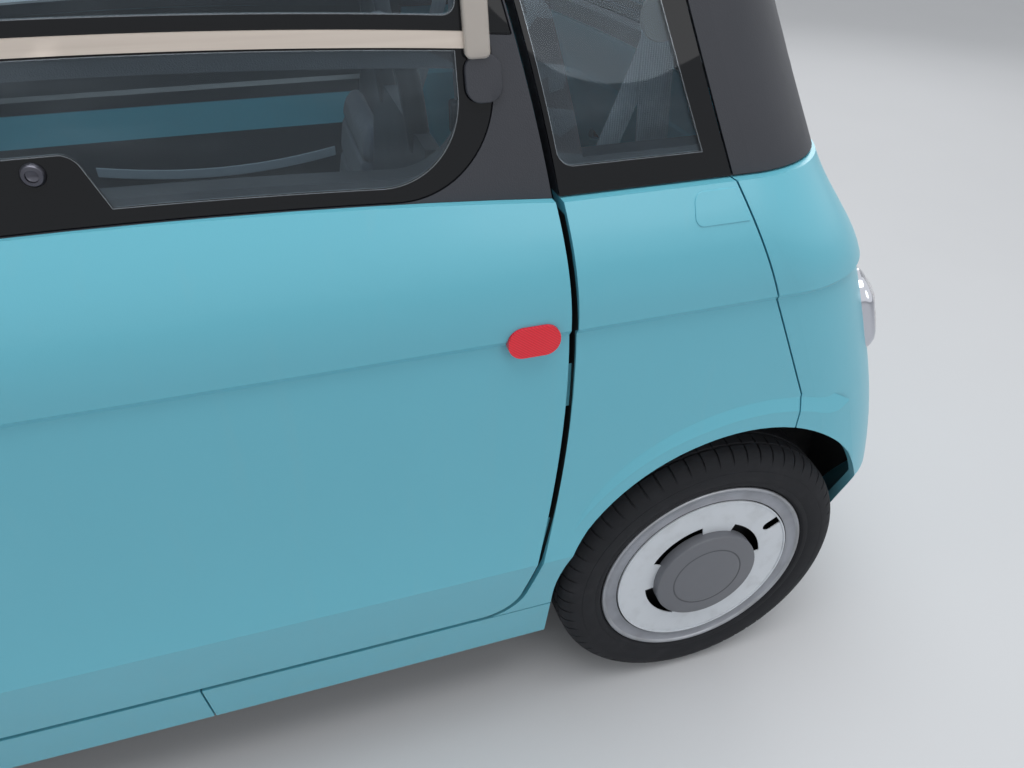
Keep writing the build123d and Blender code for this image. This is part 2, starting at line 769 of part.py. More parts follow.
def bar_along_y(x, half_run):
    """A square tube along the car."""
    return box_between((x - rail_half, -half_run, rail_z - rail_half), (x + rail_half, half_run, rail_z + rail_half))


def bar_along_x(y, half_run):
    """A square tube across the car."""
    return box_between((-half_run, y - rail_half, rail_z - rail_half), (half_run, y + rail_half, rail_z + rail_half))


tube_frame = bar_along_y(horn_x, nose_y) + bar_along_y(-horn_x, nose_y)
tube_frame += [bar_along_y(x, middle_y + rail_half) for x in (rail_x, -rail_x)]
tube_frame += [bar_along_x(y, rail_x + rail_half) for y in (-middle_y, 0, middle_y)]
tube_frame += [bar_along_x(y, horn_x + rail_half) for y in (rail_half - nose_y, nose_y - rail_half)]
tower_leg = rod((leg_x, leg_y, rail_z), (leg_x, leg_y, tower_low_z + tower_sheet / 2), leg_diameter)
tower_top = box_between(
    (leg_x - leg_diameter / 2, axle_y - tower_half_y, tower_low_z),
    (steer_point(steer_top_z)[0] + tower_reach, axle_y + tower_half_y, tower_low_z + tower_sheet),
)
tube_frame += four_ways(tower_leg + tower_top)

# Brackets behind the rear cross member hold the eyes of the trailing arms.
trail_x = 440
trail_pivot_y = 566
trail_pivot_z = rail_z + 10
trail_diameter = 54
trail_eye_half = 27
ear_sheet = 8
ear_rise = 5
ear = across_x(
    Pos((middle_y + trail_pivot_y) / 2 + 10, rail_z + ear_rise)
    * Rectangle(trail_pivot_y - middle_y + 20, rail_size + 2 * ear_rise),
    trail_x + trail_eye_half + seat_gap, trail_x + trail_eye_half + seat_gap + ear_sheet,
)
inner_ear = Pos(-2 * (trail_eye_half + seat_gap) - ear_sheet, 0, 0) * ear
bracket_beam = box_between(
    (rail_x, middle_y - rail_half, rail_z - rail_half),
    (trail_x + trail_eye_half + seat_gap + ear_sheet, middle_y + rail_half, rail_z + rail_half),
)
tube_frame += left_right(ear + inner_ear + bracket_beam)
keep("tube_frame", tube_frame)

# Floor sheet between the sills, cut back round the wheel liners.
floor_front_y = 700
floor_volume = stack(tuck_sections, wall + seat_gap)
floor_pan = floor_volume & box_between((-width, -length, floor_z), (width, length, floor_z + floor_sheet))
floor_pan -= box_between((-width, -length, 0), (width, -floor_front_y, belt_z))
floor_pan -= box_between((-width, nose_y, 0), (width, length, belt_z))
for y_sign, well_x in ((1, rear_well_x), (-1, front_well_x)):
    low_y = axle_y - liner_radius - 4
    for x_sign in (1, -1):
        x_low, x_high = sorted((x_sign * (well_x - 4), x_sign * width))
        y_low, y_high = sorted((y_sign * low_y, y_sign * length))
        floor_pan -= box_between((x_low, y_low, 0), (x_high, y_high, belt_z))
jack_pad_x = 400
jack_pad_width = 60
jack_pad_length = 90
jack_pad_depth = 12
jack_pad = box_between(
    (jack_pad_x - jack_pad_width / 2, -jack_pad_length / 2, floor_z - jack_pad_depth),
    (jack_pad_x + jack_pad_width / 2, jack_pad_length / 2, floor_z + floor_sheet / 2),
)
floor_pan += left_right(jack_pad)
keep("floor_pan", floor_pan)

# Heights that the seats and the battery share.
seat_low_z = 430
shell_sheet = 22

# Drive unit between the front wheels and traction battery under the seats.
drive_low, drive_high, drive_rounding = (-210, -990, 262), (200, -740, 520), 40
drive_plate_y, drive_plate_half, drive_plate_sheet = -910, 20, 18
rail_top_z = rail_z + rail_half
drive_unit = fillet(box_between(drive_low, drive_high).edges().filter_by(Axis.X), drive_rounding)
drive_unit += box_between(
    (-horn_x - 16, drive_plate_y - drive_plate_half, rail_top_z + seat_gap),
    (horn_x + 16, drive_plate_y + drive_plate_half, rail_top_z + drive_plate_sheet),
)
keep("drive_block", drive_unit)
battery_x, battery_front_y, battery_rear_y, battery_rounding = 400, -70, 330, 30
battery_top_z = seat_low_z - shell_sheet / 2 - seat_gap
battery = box_between((-battery_x, battery_front_y, rail_top_z + seat_gap), (battery_x, battery_rear_y, battery_top_z))
battery = fillet(battery.edges().filter_by(Axis.Z), battery_rounding)
keep("battery_block", battery)

# Front lower arms, from the frame rails to the ball joints under the knuckles.
arm_pivot_diameter = 40
arm_z = rail_z - rail_half - arm_pivot_diameter / 2 - seat_gap
arm_pivot_x = horn_x + 6
arm_spread = 90
arm_eye_half = 22
arm_diameter = 26
cup_radius = 24
cup_low = 20
cup_high = 6
ball = steer_point(ball_z)
lower_arm = Pos(ball[0], ball[1], ball_z - cup_low) * Cylinder(
    cup_radius, cup_low + cup_high, align=(Align.CENTER, Align.CENTER, Align.MIN)
)
for end_y in (-axle_y - arm_spread, -axle_y + arm_spread):
    lower_arm += rod((arm_pivot_x, end_y, arm_z), (ball[0] - cup_radius + 4, ball[1], ball_z - 6), arm_diameter)
    lower_arm += rod(
        (arm_pivot_x, end_y - arm_eye_half, arm_z), (arm_pivot_x, end_y + arm_eye_half, arm_z), arm_pivot_diameter
    )
lower_arm -= Pos(*ball) * Sphere(ball_radius + seat_gap)
keep("front_arms", left_right(lower_arm))

# Rear trailing arms with stub axles, and the spring struts that stand on them.
strut_x = trail_x - 10
strut_y = axle_y + 12
rear_strut_top = tower_low_z - seat_gap
rear_spring_low = 330
rear_spring_height = 250
rear_coils = 6
rear_hub_radius = 42
rear_strut_diameter = 30
rear_cap_diameter = 70
rear_cap_sheet = 16
rear_plate_diameter = 84
rear_sleeve_diameter = 46
rear_coil_radius = 30
rear_arm = rod((trail_x, trail_pivot_y, trail_pivot_z), (trail_x + 30, axle_y, axle_z), trail_diameter - 8)
rear_arm += rod(
    (trail_x - trail_eye_half, trail_pivot_y, trail_pivot_z), (trail_x + trail_eye_half, trail_pivot_y, trail_pivot_z),
    trail_diameter,
)
rear_arm += Pos(0, axle_y, axle_z) * disc_x(rear_hub_radius, trail_x - 20, wheel_plane_x + hub_back - 1)
rear_arm += Pos(0, axle_y, axle_z) * disc_x(
    spindle_radius, steer_x, wheel_plane_x + disc_x_place + 2
)
rear_cap_low = rear_strut_top - rear_cap_sheet


def strut_part(low, high, diameter):
    """A round part on the rear strut's centre line."""
    return rod((strut_x, strut_y, low), (strut_x, strut_y, high), diameter)


rear_arm += strut_part(axle_z, rear_cap_low, rear_strut_diameter)
rear_arm += strut_part(rear_cap_low, rear_strut_top, rear_cap_diameter)
rear_arm += strut_part(rear_spring_low - spring_plate_sheet, rear_spring_low, rear_plate_diameter)
coil_pitch = rear_spring_height / rear_coils
for coil in range(rear_coils):
    coil_z = rear_spring_low + coil_pitch * (coil + 0.5)
    rear_arm += Pos(strut_x, strut_y, coil_z) * Torus(rear_coil_radius, wire_radius)
rear_arm += strut_part(rear_spring_low, rear_cap_low + 2, rear_sleeve_diameter)
keep("rear_suspension", left_right(rear_arm))

# Dashboard shelf across the cabin, with the steering column through it.
dash_y = -640
dash_depth = 150
dash_z = 870
dash_height = 120
dash_corner = 34
dash_profile = Pos(dash_y - dash_depth / 2, dash_z - dash_height / 2) * RectangleRounded(dash_depth, dash_height, dash_corner)
dashboard = across_x(dash_profile, -width, width) & lower_volume(wall + seat_gap)
wheel_tilt = 62
column_x = 300
steering_y = -395
steering_z = 905
steering_axis = Vector(0, sin(radians(wheel_tilt)), cos(radians(wheel_tilt)))
hub_half = 20
hub_drop = 12
column_diameter = 62
column_length = 260
steering_radius = 165
steering_rim = 14
steering_hub_radius = 44
spoke_length, spoke_width, spoke_sheet, spoke_drop = 150, 34, 12, 8
column_top = Vector(column_x, steering_y, steering_z) - steering_axis * (hub_drop + hub_half + seat_gap)
column_foot = column_top - steering_axis * column_length
column = rod(tuple(column_foot), tuple(column_top), column_diameter)
dashboard -= rod(tuple(column_foot - steering_axis * 20), tuple(column_top), column_diameter + 2 * seat_gap)
keep("dashboard", dashboard)
keep("steering_column", column)
steering_plane = Plane(origin=(column_x, steering_y, steering_z), x_dir=(1, 0, 0), z_dir=steering_axis)
steering_wheel = steering_plane * Torus(steering_radius, steering_rim)
steering_wheel += steering_plane * Pos(0, 0, -hub_drop) * Cylinder(steering_hub_radius, 2 * hub_half)
for angle in (0, 180, 270):
    spoke = Pos(spoke_length / 2 + wire_radius, 0, -spoke_drop) * Box(spoke_length, spoke_width, spoke_sheet)
    steering_wheel += steering_plane * Rot(0, 0, angle) * spoke
keep("steering_wheel", steering_wheel)

# Seats: moulded shells on the battery and floor, with separate pads.
seat_width = 420
pad_width = 390
pad_side_gap = 20
cushion_thickness = 52
back_thickness = 44
pad_corner = 40
shell_bend = 40
seat_line = ((-120, seat_low_z + 22), (280, seat_low_z), (345, 470), (425, 900), (440, 1040))
seat_places = ((300, 0), (-300, 60))


def pad_on(start, end, thickness, seat_x, seat_shift):
    """A flat pad that lies on one straight stretch of a seat shell."""
    run = Vector(0, end[0] - start[0], end[1] - start[1])
    normal = Vector(1, 0, 0).cross(run).normalized()
    middle = Vector(seat_x, (start[0] + end[0]) / 2 + seat_shift, (start[1] + end[1]) / 2)
    base = middle + normal * (shell_sheet / 2 + seat_gap)
    face = Plane(origin=base, x_dir=(1, 0, 0), z_dir=normal)
    return extrude(face * RectangleRounded(pad_width, run.length - 2 * pad_side_gap, pad_corner), thickness)


seat_shells = []
seat_pads = []
for seat_x, seat_shift in seat_places:
    line = FilletPolyline(*[(y + seat_shift, z) for y, z in seat_line], radius=shell_bend)
    shell_face = trace(line, shell_sheet)
    seat_shells.append(across_x(shell_face, seat_x - seat_width / 2, seat_x + seat_width / 2))
    for start, end, thickness in ((0, 1, cushion_thickness), (2, 3, back_thickness)):
        seat_pads.append(pad_on(seat_line[start], seat_line[end], thickness, seat_x, seat_shift))
keep("seat_shells", seat_shells)
keep("seat_pads", seat_pads)
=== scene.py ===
from math import asin, cos, degrees, pi, radians, sin

import bmesh
import bpy
from mathutils import Matrix, Vector


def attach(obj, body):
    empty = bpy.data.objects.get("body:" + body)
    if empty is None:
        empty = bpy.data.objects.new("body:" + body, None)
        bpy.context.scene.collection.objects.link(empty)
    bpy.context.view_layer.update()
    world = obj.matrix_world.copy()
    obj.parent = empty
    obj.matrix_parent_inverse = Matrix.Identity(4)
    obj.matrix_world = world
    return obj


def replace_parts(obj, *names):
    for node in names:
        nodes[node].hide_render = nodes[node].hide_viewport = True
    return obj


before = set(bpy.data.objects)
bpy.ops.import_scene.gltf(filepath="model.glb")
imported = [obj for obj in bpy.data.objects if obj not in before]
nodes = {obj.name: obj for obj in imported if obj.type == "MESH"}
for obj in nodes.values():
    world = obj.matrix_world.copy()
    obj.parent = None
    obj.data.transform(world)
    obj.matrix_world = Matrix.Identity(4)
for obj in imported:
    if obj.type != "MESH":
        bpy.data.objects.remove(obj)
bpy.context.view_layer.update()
scene = bpy.context.scene

# Viewpoint: a person standing beside the left rear wheel and looking down at the rear
# edge of the door, with a phone's wide lens. Not part of the car.
eye = Vector((1.45976, 0.25191, 1.36465))
eye_yaw, eye_pitch, eye_roll = radians(17.151), radians(35.508), radians(0.235)
sensor_width, lens_length = 36.0, 27.07
look = Vector((-cos(eye_pitch) * cos(eye_yaw), cos(eye_pitch) * sin(eye_yaw), -sin(eye_pitch)))
level = look.cross(Vector((0, 0, 1))).normalized()
camera_right = level * cos(eye_roll) + level.cross(look) * sin(eye_roll)
camera_up = camera_right.cross(look)
camera_data = bpy.data.cameras.new("camera")
camera_data.sensor_width, camera_data.lens = sensor_width, lens_length
camera_data.clip_start = 0.05
camera = bpy.data.objects.new("camera", camera_data)
scene.collection.objects.link(camera)
camera.matrix_world = Matrix.Translation(eye) @ Matrix((camera_right, camera_up, -look)).transposed().to_4x4()
scene.camera = camera
scene.view_settings.view_transform = "Standard"


# Studio: a pale floor that runs into a white background, one large soft light overhead
# and weaker ones beside and behind. Not part of the car. Its floor has the first finish,
# so how a finish is written comes here.
class Signal:
    """A value that varies over a surface. Python's operators on it add Math nodes."""

    def __init__(self, finish, socket):
        self.finish, self.socket = finish, socket

    def maths(self, operation, *values):
        return self.finish.add("ShaderNodeMath", {"operation": operation}, dict(enumerate(values)))

    def __add__(self, other):
        return self.maths("ADD", self, other)

    def __radd__(self, other):
        return self.maths("ADD", other, self)

    def __sub__(self, other):
        return self.maths("SUBTRACT", self, other)

    def __rsub__(self, other):
        return self.maths("SUBTRACT", other, self)

    def __mul__(self, other):
        return self.maths("MULTIPLY", self, other)

    def __rmul__(self, other):
        return self.maths("MULTIPLY", other, self)

    def __truediv__(self, other):
        return self.maths("DIVIDE", self, other)

    def __abs__(self):
        return self.maths("ABSOLUTE", self)

    def __pow__(self, other):
        return self.maths("POWER", self, other)

    def least(self, other):
        return self.maths("MINIMUM", self, other)

    def most(self, other):
        return self.maths("MAXIMUM", self, other)

    def sign(self):
        return self.maths("SIGN", self)

    def wave(self):
        return self.maths("SINE", self)

    def repeat(self, pitch):
        """Runs from -half a pitch to half a pitch, over and over."""
        return self.maths("WRAP", self, pitch / 2, -pitch / 2)

    def step(self, low, high):
        """0 below low, 1 above high, smooth between."""
        ends = {"Value": self, "From Min": low, "From Max": high}
        return self.finish.add("ShaderNodeMapRange", {"interpolation_type": "SMOOTHSTEP"}, ends)


class Finish:
    """One material. Numbers that are the same all over sit on the shader's own sockets."""

    def __init__(self, name, colour, roughness, **sockets):
        self.material = bpy.data.materials.new(name)
        self.material.use_nodes = True
        self.tree = self.material.node_tree
        self.shader = self.tree.nodes["Principled BSDF"]
        self.colour = colour
        self.set("Base Color", (*colour, 1))
        self.set("Roughness", roughness)
        for socket, value in sockets.items():
            self.set(socket.replace("_", " "), value)

    def add(self, kind, settings=None, inputs=None, out=0):
        """Any node: its type, its settings, and the values or links of its sockets."""
        made = self.tree.nodes.new(kind)
        for key, value in (settings or {}).items():
            setattr(made, key, value)
        for key, value in (inputs or {}).items():
            self.link(value, made.inputs[key])
        return Signal(self, made.outputs[out])

    def link(self, value, socket):
        if isinstance(value, Signal):
            self.tree.links.new(value.socket, socket)
        else:
            socket.default_value = value

    def set(self, name, value):
        self.link(value, self.shader.inputs[name])

    def place(self, output=3):
        """The surface's place in the car's frame in metres and its coordinates, or its normal."""
        at = self.add("ShaderNodeTexCoord", out=output)
        split = [self.add("ShaderNodeSeparateXYZ", inputs={0: at}, out=axis) for axis in range(3)]
        return at, *split

    def noise(self, at, scale, detail=2.0, roughness=0.5):
        inputs = {"Vector": at, "Scale": scale, "Detail": detail, "Roughness": roughness}
        return self.add("ShaderNodeTexNoise", inputs=inputs)

    def stretch(self, at, scale):
        return self.add("ShaderNodeMapping", inputs={"Vector": at, "Scale": scale})

    def mix(self, amount, first, second):
        """A colour between two, by an amount."""
        pair = [(*c, 1) if isinstance(c, tuple) else c for c in (first, second)]
        return self.add("ShaderNodeMix", {"data_type": "RGBA"}, {0: amount, 6: pair[0], 7: pair[1]}, out=2)

    def bump(self, height, distance, strength=1.0, normal=None):
        inputs = {"Height": height, "Distance": distance, "Strength": strength}
        if normal is not None:
            inputs["Normal"] = normal
        return self.add("ShaderNodeBump", inputs=inputs)

    def see_through(self, amount, tint):
        """Lets light through by an amount that varies over the surface."""
        clear = self.add("ShaderNodeBsdfTransparent", inputs={"Color": (*tint, 1)})
        shell = Signal(self, self.shader.outputs[0])
        both = self.add("ShaderNodeMixShader", inputs={0: amount, 1: shell, 2: clear})
        self.link(both, self.tree.nodes["Material Output"].inputs["Surface"])

    def cover(self, *names):
        """Puts this finish on CAD nodes."""
        for name in names:
            nodes[name].data.materials.clear()
            nodes[name].data.materials.append(self.material)


def screen(red, green, blue):
    """A colour in linear light from 0-255 screen values."""
    return tuple(((c / 255 + 0.055) / 1.055) ** 2.4 if c > 10 else c / 3294.6 for c in (red, green, blue))


background = 1.0
fill = 0.5
sky = bpy.data.worlds.new("studio")
scene.world = sky
sky.use_nodes = True
sky_tree = sky.node_tree
sky_shader = sky_tree.nodes["Background"]
ray = sky_tree.nodes.new("ShaderNodeLightPath")
seen = ray.outputs["Is Camera Ray"]
for other in ("Is Transmission Ray", "Is Glossy Ray"):
    either = sky_tree.nodes.new("ShaderNodeMath")
    either.operation = "MAXIMUM"
    sky_tree.links.new(seen, either.inputs[0])
    sky_tree.links.new(ray.outputs[other], either.inputs[1])
    seen = either.outputs[0]
strength = sky_tree.nodes.new("ShaderNodeMapRange")
strength.inputs["To Min"].default_value = fill
strength.inputs["To Max"].default_value = background
sky_tree.links.new(seen, strength.inputs["Value"])
sky_tree.links.new(strength.outputs[0], sky_shader.inputs["Strength"])
sky_shader.inputs["Color"].default_value = (0.96, 0.98, 1.0, 1)

# name, place, target, size, power
lights = (
    ("overhead", (0.9, 0.4, 5.5), (0, 0, 0.6), 4.6, 170),
    ("beside", (4.5, 2.6, 3.0), (0.4, 0.3, 0.7), 2.6, 30),
    ("behind", (-3.5, 4.5, 3.2), (0, 0.3, 0.7), 3.0, 40),
)
for name, place, target, size, power in lights:
    lamp = bpy.data.lights.new(name, "AREA")
    lamp.shape, lamp.size, lamp.energy = "DISK", size, power
    holder = bpy.data.objects.new(name, lamp)
    scene.collection.objects.link(holder)
    holder.location = place
    holder.rotation_euler = (Vector(target) - Vector(place)).to_track_quat("-Z", "Y").to_euler()

floor_half = 30
floor_mesh = bpy.data.meshes.new("studio_floor")
floor_edge = ((-floor_half, -floor_half, 0), (floor_half, -floor_half, 0), (floor_half, floor_half, 0), (-floor_half, floor_half, 0))
floor_mesh.from_pydata(floor_edge, [], [(0, 1, 2, 3)])
studio_floor = bpy.data.objects.new("studio_floor", floor_mesh)
scene.collection.objects.link(studio_floor)
floor_finish = Finish("studio_floor", (0.62, 0.63, 0.65), 0.8)
at, x, y, z = floor_finish.place()
floor_finish.set("Base Color", floor_finish.mix(floor_finish.noise(at, 1.5), (0.61, 0.62, 0.64), (0.64, 0.65, 0.67)))
floor_mesh.materials.append(floor_finish.material)

# Body panels: thick panels dyed right through in a pale aqua, with a satin grain, a
# little road dust low down and faint handling marks. Hidden clips and screws hold them
# to the tube frame. Black rubber seals line the gap round each door, and the black
# painted deep on the gap faces is painted shade there too. Inside the doors the panels
# carry painted shade.
aqua = screen(104, 186, 205)
aqua_dusty = screen(140, 182, 190)
seal_and_gap_shade = screen(14, 15, 17)


def body_finish(name, seal_and_shade):
    """The panels' finish, with or without the door seal, painted shade in the gaps and inside the doors."""
    made = Finish(name, aqua, 0.36, Coat_Roughness=0.2, Specular_IOR_Level=0.45)
    at, x, y, z = made.place()
    cloudy = made.noise(at, 3.5, 3.0)
    dust = (1 - z.step(0.18, 0.5)) * made.noise(at, 14, 4.0).step(0.35, 0.75)
    rain = made.noise(made.stretch(at, (40.0, 40.0, 3.0)), 1.0, 3.0).step(0.55, 0.8)
    shade = made.mix(cloudy * 0.5, aqua, tuple(c * 0.92 for c in aqua))
    shade = made.mix(dust * 0.3 + rain * 0.06, shade, aqua_dusty)
    rough = 0.32 + cloudy * 0.08 + dust * 0.2
    if seal_and_shade:
        # Gap faces deep below the outer skin are painted black: the rubber seal, and painted shade deep in the gap.
        facing, nx, ny, nz = made.place(1)
        flank = 0.69 + z.step(0.85, 0.86) * 0.01 - (((z - 0.86).most(0) * 6.33) ** 2) * 0.038
        flank = flank - (0.437 - z).most(0) * 0.231 - y * y * 0.0096
        deep = (flank - abs(x)).step(0.002, 0.004)
        door_end = 0.6 + z.step(0.6, 0.62) * 0.06
        edge = deep * (1 - abs(nx).step(0.3, 0.5)) * (door_end - abs(y)).step(0, 0.005) * (1 - z.step(1.0, 1.003))
        shade = made.mix(edge, shade, seal_and_gap_shade)
        rough = rough + edge * 0.35
        # Inside a door the panel is painted charcoal, but for an aqua band below the window: trim with painted shade in
        # its recess low down, painted shade under the window frame above.
        inner_trim_and_shade = (1 - (nx * x.sign()).step(-0.5, -0.3)) * (1 - abs(y).step(0.6, 0.605))
        inner_trim_and_shade = inner_trim_and_shade * (1 - z.step(0.742, 0.745) * (1 - z.step(0.818, 0.822)))
        shade = made.mix(inner_trim_and_shade, shade, screen(38, 40, 46))
        made.set("Coat Weight", 0.28 * (1 - dust.most(edge)))
    else:
        made.set("Coat Weight", 0.28 - dust * 0.2)
    made.set("Base Color", shade)
    made.set("Roughness", rough)
    made.set("Normal", made.bump(made.noise(at, 700, 2.0), 0.0002, 0.3))
    return made


panel_finish = body_finish("dyed_aqua_panel", False)
panel_finish.cover("front_panel", "rear_panel", "dashboard")
edged_finish = body_finish("dyed_aqua_panel_with_seal_and_painted_shade", True)
edged_finish.cover("wings_left", "wings_right", "sills", "door_left_panel", "door_right_panel")

# Pillar covers, window frames and door trim: black plastic moulded with a fine leather
# grain that scatters the light, clipped over the glass edges.
grained = Finish("grained_black_plastic", screen(48, 50, 57), 0.5, Specular_IOR_Level=0.4)
at, x, y, z = grained.place()
cells = grained.add("ShaderNodeTexVoronoi", {"feature": "F1"}, {"Vector": at, "Scale": 620.0})
grained.set("Normal", grained.bump(cells, 0.0004, 0.3))
grained.set("Roughness", 0.44 + grained.noise(at, 9, 3.0) * 0.14)
grained.set("Base Color", grained.mix(grained.noise(at, 5, 3.0), screen(44, 46, 52), screen(54, 56, 63)))
grained.cover("pillar_covers", "window_frame", "door_left_frame", "door_right_frame", "door_left_trim", "door_right_trim")

# Roof ring: a gloss black moulding glued to the tops of the window frames.
roof_finish = Finish("gloss_black_roof", screen(24, 25, 28), 0.22, Coat_Weight=0.5)
at, x, y, z = roof_finish.place()
roof_finish.set("Roughness", 0.16 + roof_finish.noise(at, 6, 3.0) * 0.16)
roof_finish.cover("roof_frame")

# Panes: tinted safety glass glued over the frames, with a black border printed inside
# to hide the glue. Each door has a flap that opens and a fixed pane above its bar. The
# lines below are the panels' own: the crowned belt, the bowed door edges, the pillars.
belt_top, belt_bend, belt_side_z = 1.042, 0.0772, 1.018
bow_centre_y, bow_centre_z, bow_radius = 1.069, 0.776, 1.636
pillar_belt_y, pillar_lean = 0.787, 0.36
seam_belt_y, seam_lean = 0.787, 0.487
screen_belt_x, screen_lean = 0.505, 0.26
header_z = 1.456
glass_tint = screen(238, 245, 248)
print_black = screen(13, 15, 19)
print_edge = 0.0007


def pane_finish(name, clear_area):
    """Glass whose clear area is given as a mask of side, length and height."""
    made = Finish(name, print_black, 0.06, Specular_IOR_Level=0.22)
    at, x, y, z = made.place()
    clear = clear_area(x, y, z)
    film = made.noise(made.stretch(at, (3.0, 3.0, 12.0)), 2.0, 4.0).step(0.45, 0.9)
    mirror = made.add("ShaderNodeFresnel", inputs={"IOR": 1.33})
    made.set("Base Color", made.mix(clear, print_black, (0.8, 0.88, 0.96)))
    made.set("Metallic", clear)
    made.set("Roughness", 0.015 + film * 0.02)
    made.see_through(clear * (1 - mirror) * (1 - film * 0.02), glass_tint)
    return made


def inside(distance):
    """1 where a distance is below nothing, 0 above."""
    return 1 - distance.step(-print_edge, print_edge)


def rounded_reach(across, along, corner):
    """How far a point lies outside a corner of this radius, from its reach along two axes."""
    return ((across + corner).most(0) ** 2 + (along + corner).most(0) ** 2) ** 0.5 - corner


def door_clear(x, y, z):
    level = z + y * y * belt_bend
    flap = inside(rounded_reach(abs(y) - 0.447, belt_top + 0.017 - level, 0.095))
    flap = flap * inside(level - belt_top - 0.153)
    patch_side = abs(y * x.sign() - 0.023) - 0.037 - (1.112 - z) * 0.456
    flap = flap * (1 - inside(rounded_reach(patch_side, z - 1.112, 0.012)))
    bow = ((abs(y) + bow_centre_y) ** 2 + (z - bow_centre_z) ** 2) ** 0.5 - bow_radius + 0.05
    upper = inside(rounded_reach(bow, belt_top + 0.186 - level, 0.02))
    return flap + upper * inside(z - header_z + 0.045)


def fixed_clear(x, y, z):
    bow = bow_radius + 0.016 - ((abs(y) + bow_centre_y) ** 2 + (z - bow_centre_z) ** 2) ** 0.5
    quarter = inside(rounded_reach(bow, belt_side_z + 0.034 - z, 0.018))
    quarter = quarter * inside(abs(y) - pillar_belt_y + 0.03 + (z - belt_side_z) * pillar_lean)
    screen_side = abs(x) - screen_belt_x + 0.04 + (z - belt_side_z) * screen_lean
    ends = inside(rounded_reach(screen_side, belt_side_z + 0.045 - z, 0.04)) * abs(y).step(0.8, 0.801)
    return (quarter * (1 - abs(y).step(0.8, 0.801)) + ends) * inside(z - header_z + 0.038)


def roof_clear(x, y, z):
    return inside(rounded_reach(abs(x) - 0.362, abs(y) - 0.572, 0.05))


pane_finish("door_glass", door_clear).cover("door_left_glass", "door_right_glass")
pane_finish("fixed_glass", fixed_clear).cover("fixed_glass")
pane_finish("roof_panel_glass", roof_clear).cover("roof_glass")

# Door furniture: an anodised bar between the flap and the pane above it, its clear
# plastic end tab and black pivot cover, the latch stud in the printed patch, and the
# small flush cover ahead of the left rear seam. All clip or screw on from outside.
bpy.context.view_layer.update()
side_slope = 0.2
half_turn = Matrix.Rotation(pi, 4, "Z")
left_right_mirror = Matrix.Scale(-1, 4, (1, 0, 0))


def piece(name, mesh, finish, body, place=None, sharp=40):
    """Adds a finished mesh as a piece that moves with a body."""
    made = bpy.data.objects.new(name, mesh)
    scene.collection.objects.link(made)
    if not mesh.materials:
        mesh.materials.append(finish.material)
        mesh.shade_smooth()
        mesh.set_sharp_from_angle(angle=radians(sharp))
    if place is not None:
        made.matrix_world = place
    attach(made, body)
    return made


def meshed(name, work):
    """Turns a bmesh into a mesh with its faces turned outwards."""
    bmesh.ops.remove_doubles(work, verts=work.verts, dist=1e-6)
    bmesh.ops.recalc_face_normals(work, faces=work.faces)
    mesh = bpy.data.meshes.new(name)
    work.to_mesh(mesh)
    work.free()
    return mesh


def soften(made, width, segments=3, angle=35):
    """Rounds a piece's edges."""
    rounding = made.modifiers.new("rounded_edges", "BEVEL")
    rounding.width, rounding.segments = width, segments
    rounding.limit_method, rounding.angle_limit = "ANGLE", radians(angle)
    rounding.harden_normals = True


def skin(carriers, along, z, facing="left"):
    """The outermost point of these CAD nodes at a place seen from the left or the nose."""
    views = {"left": ((1.2, along, z), (-1, 0, 0)), "nose": ((along, -1.6, z), (0, 1, 0))}
    start, way = views[facing]
    hits = [nodes[name].ray_cast(start, way) for name in carriers]
    return min([hit[1] for hit in hits if hit[0]], key=lambda point: (point - Vector(start)).length)


def laid_on(name, carriers, outline, lift, depth, pitch=0.02, facing="left", line=None):
    """A thin piece with an outline seen from one side, which follows the surface there.

    Where a line is given, as a height for a place along the car, it follows that line only.
    """
    work = bmesh.new()
    flat = {"left": 1, "nose": 0}[facing]
    outwards = {"left": Vector((1, 0, 0)), "nose": Vector((0, -1, 0))}[facing]
    work.faces.new([work.verts.new((0, u, z) if flat else (u, 0, z)) for u, z in outline])
    for axis in (flat, 2):
        values = [vert.co[axis] for vert in work.verts]
        count = int((max(values) - min(values)) / pitch)
        for cut in range(1, count + 1):
            where = Vector((0, 0, 0))
            where[axis] = min(values) + (max(values) - min(values)) * cut / (count + 1)
            normal = Vector((0, 0, 0))
            normal[axis] = 1
            everything = work.verts[:] + work.edges[:] + work.faces[:]
            bmesh.ops.bisect_plane(work, geom=everything, plane_co=where, plane_no=normal)
    for vert in work.verts:
        along, z = vert.co[flat], vert.co.z
        level = line(along) if line else z
        vert.co = skin(carriers, along, level, facing) + outwards * (lift + (level - z) * side_slope)
        vert.co.z = z
    back = bmesh.ops.extrude_face_region(work, geom=work.faces[:])
    for item in back["geom"]:
        if isinstance(item, bmesh.types.BMVert):
            item.co -= outwards * depth
    return meshed(name, work)


def rounded_outline(y_low, y_high, z_low, z_high, corner, steps=5):
    """Corner points of a rounded rectangle seen from the side."""
    centres = ((y_high, z_high, -1, -1), (y_low, z_high, 1, -1), (y_low, z_low, 1, 1), (y_high, z_low, -1, 1))
    points = []
    for turn, (y, z, y_in, z_in) in enumerate(centres):
        for step in range(steps + 1):
            angle = (turn + step / steps) * pi / 2
            points.append((y + y_in * corner + corner * cos(angle), z + z_in * corner + corner * sin(angle)))
    return points


def spun(name, profile, steps=48):
    """A profile of (distance along X, radius) turned about the X axis."""
    work = bmesh.new()
    rings = []
    for turn in range(steps):
        angle = 2 * pi * turn / steps
        rings.append([work.verts.new((x, r * cos(angle), r * sin(angle))) for x, r in profile])
    for ring, after in zip(rings, rings[1:] + rings[:1]):
        for k in range(len(profile) - 1):
            corners = (ring[k], ring[k + 1], after[k + 1], after[k])
            work.faces.new(corners)
    return meshed(name, work)


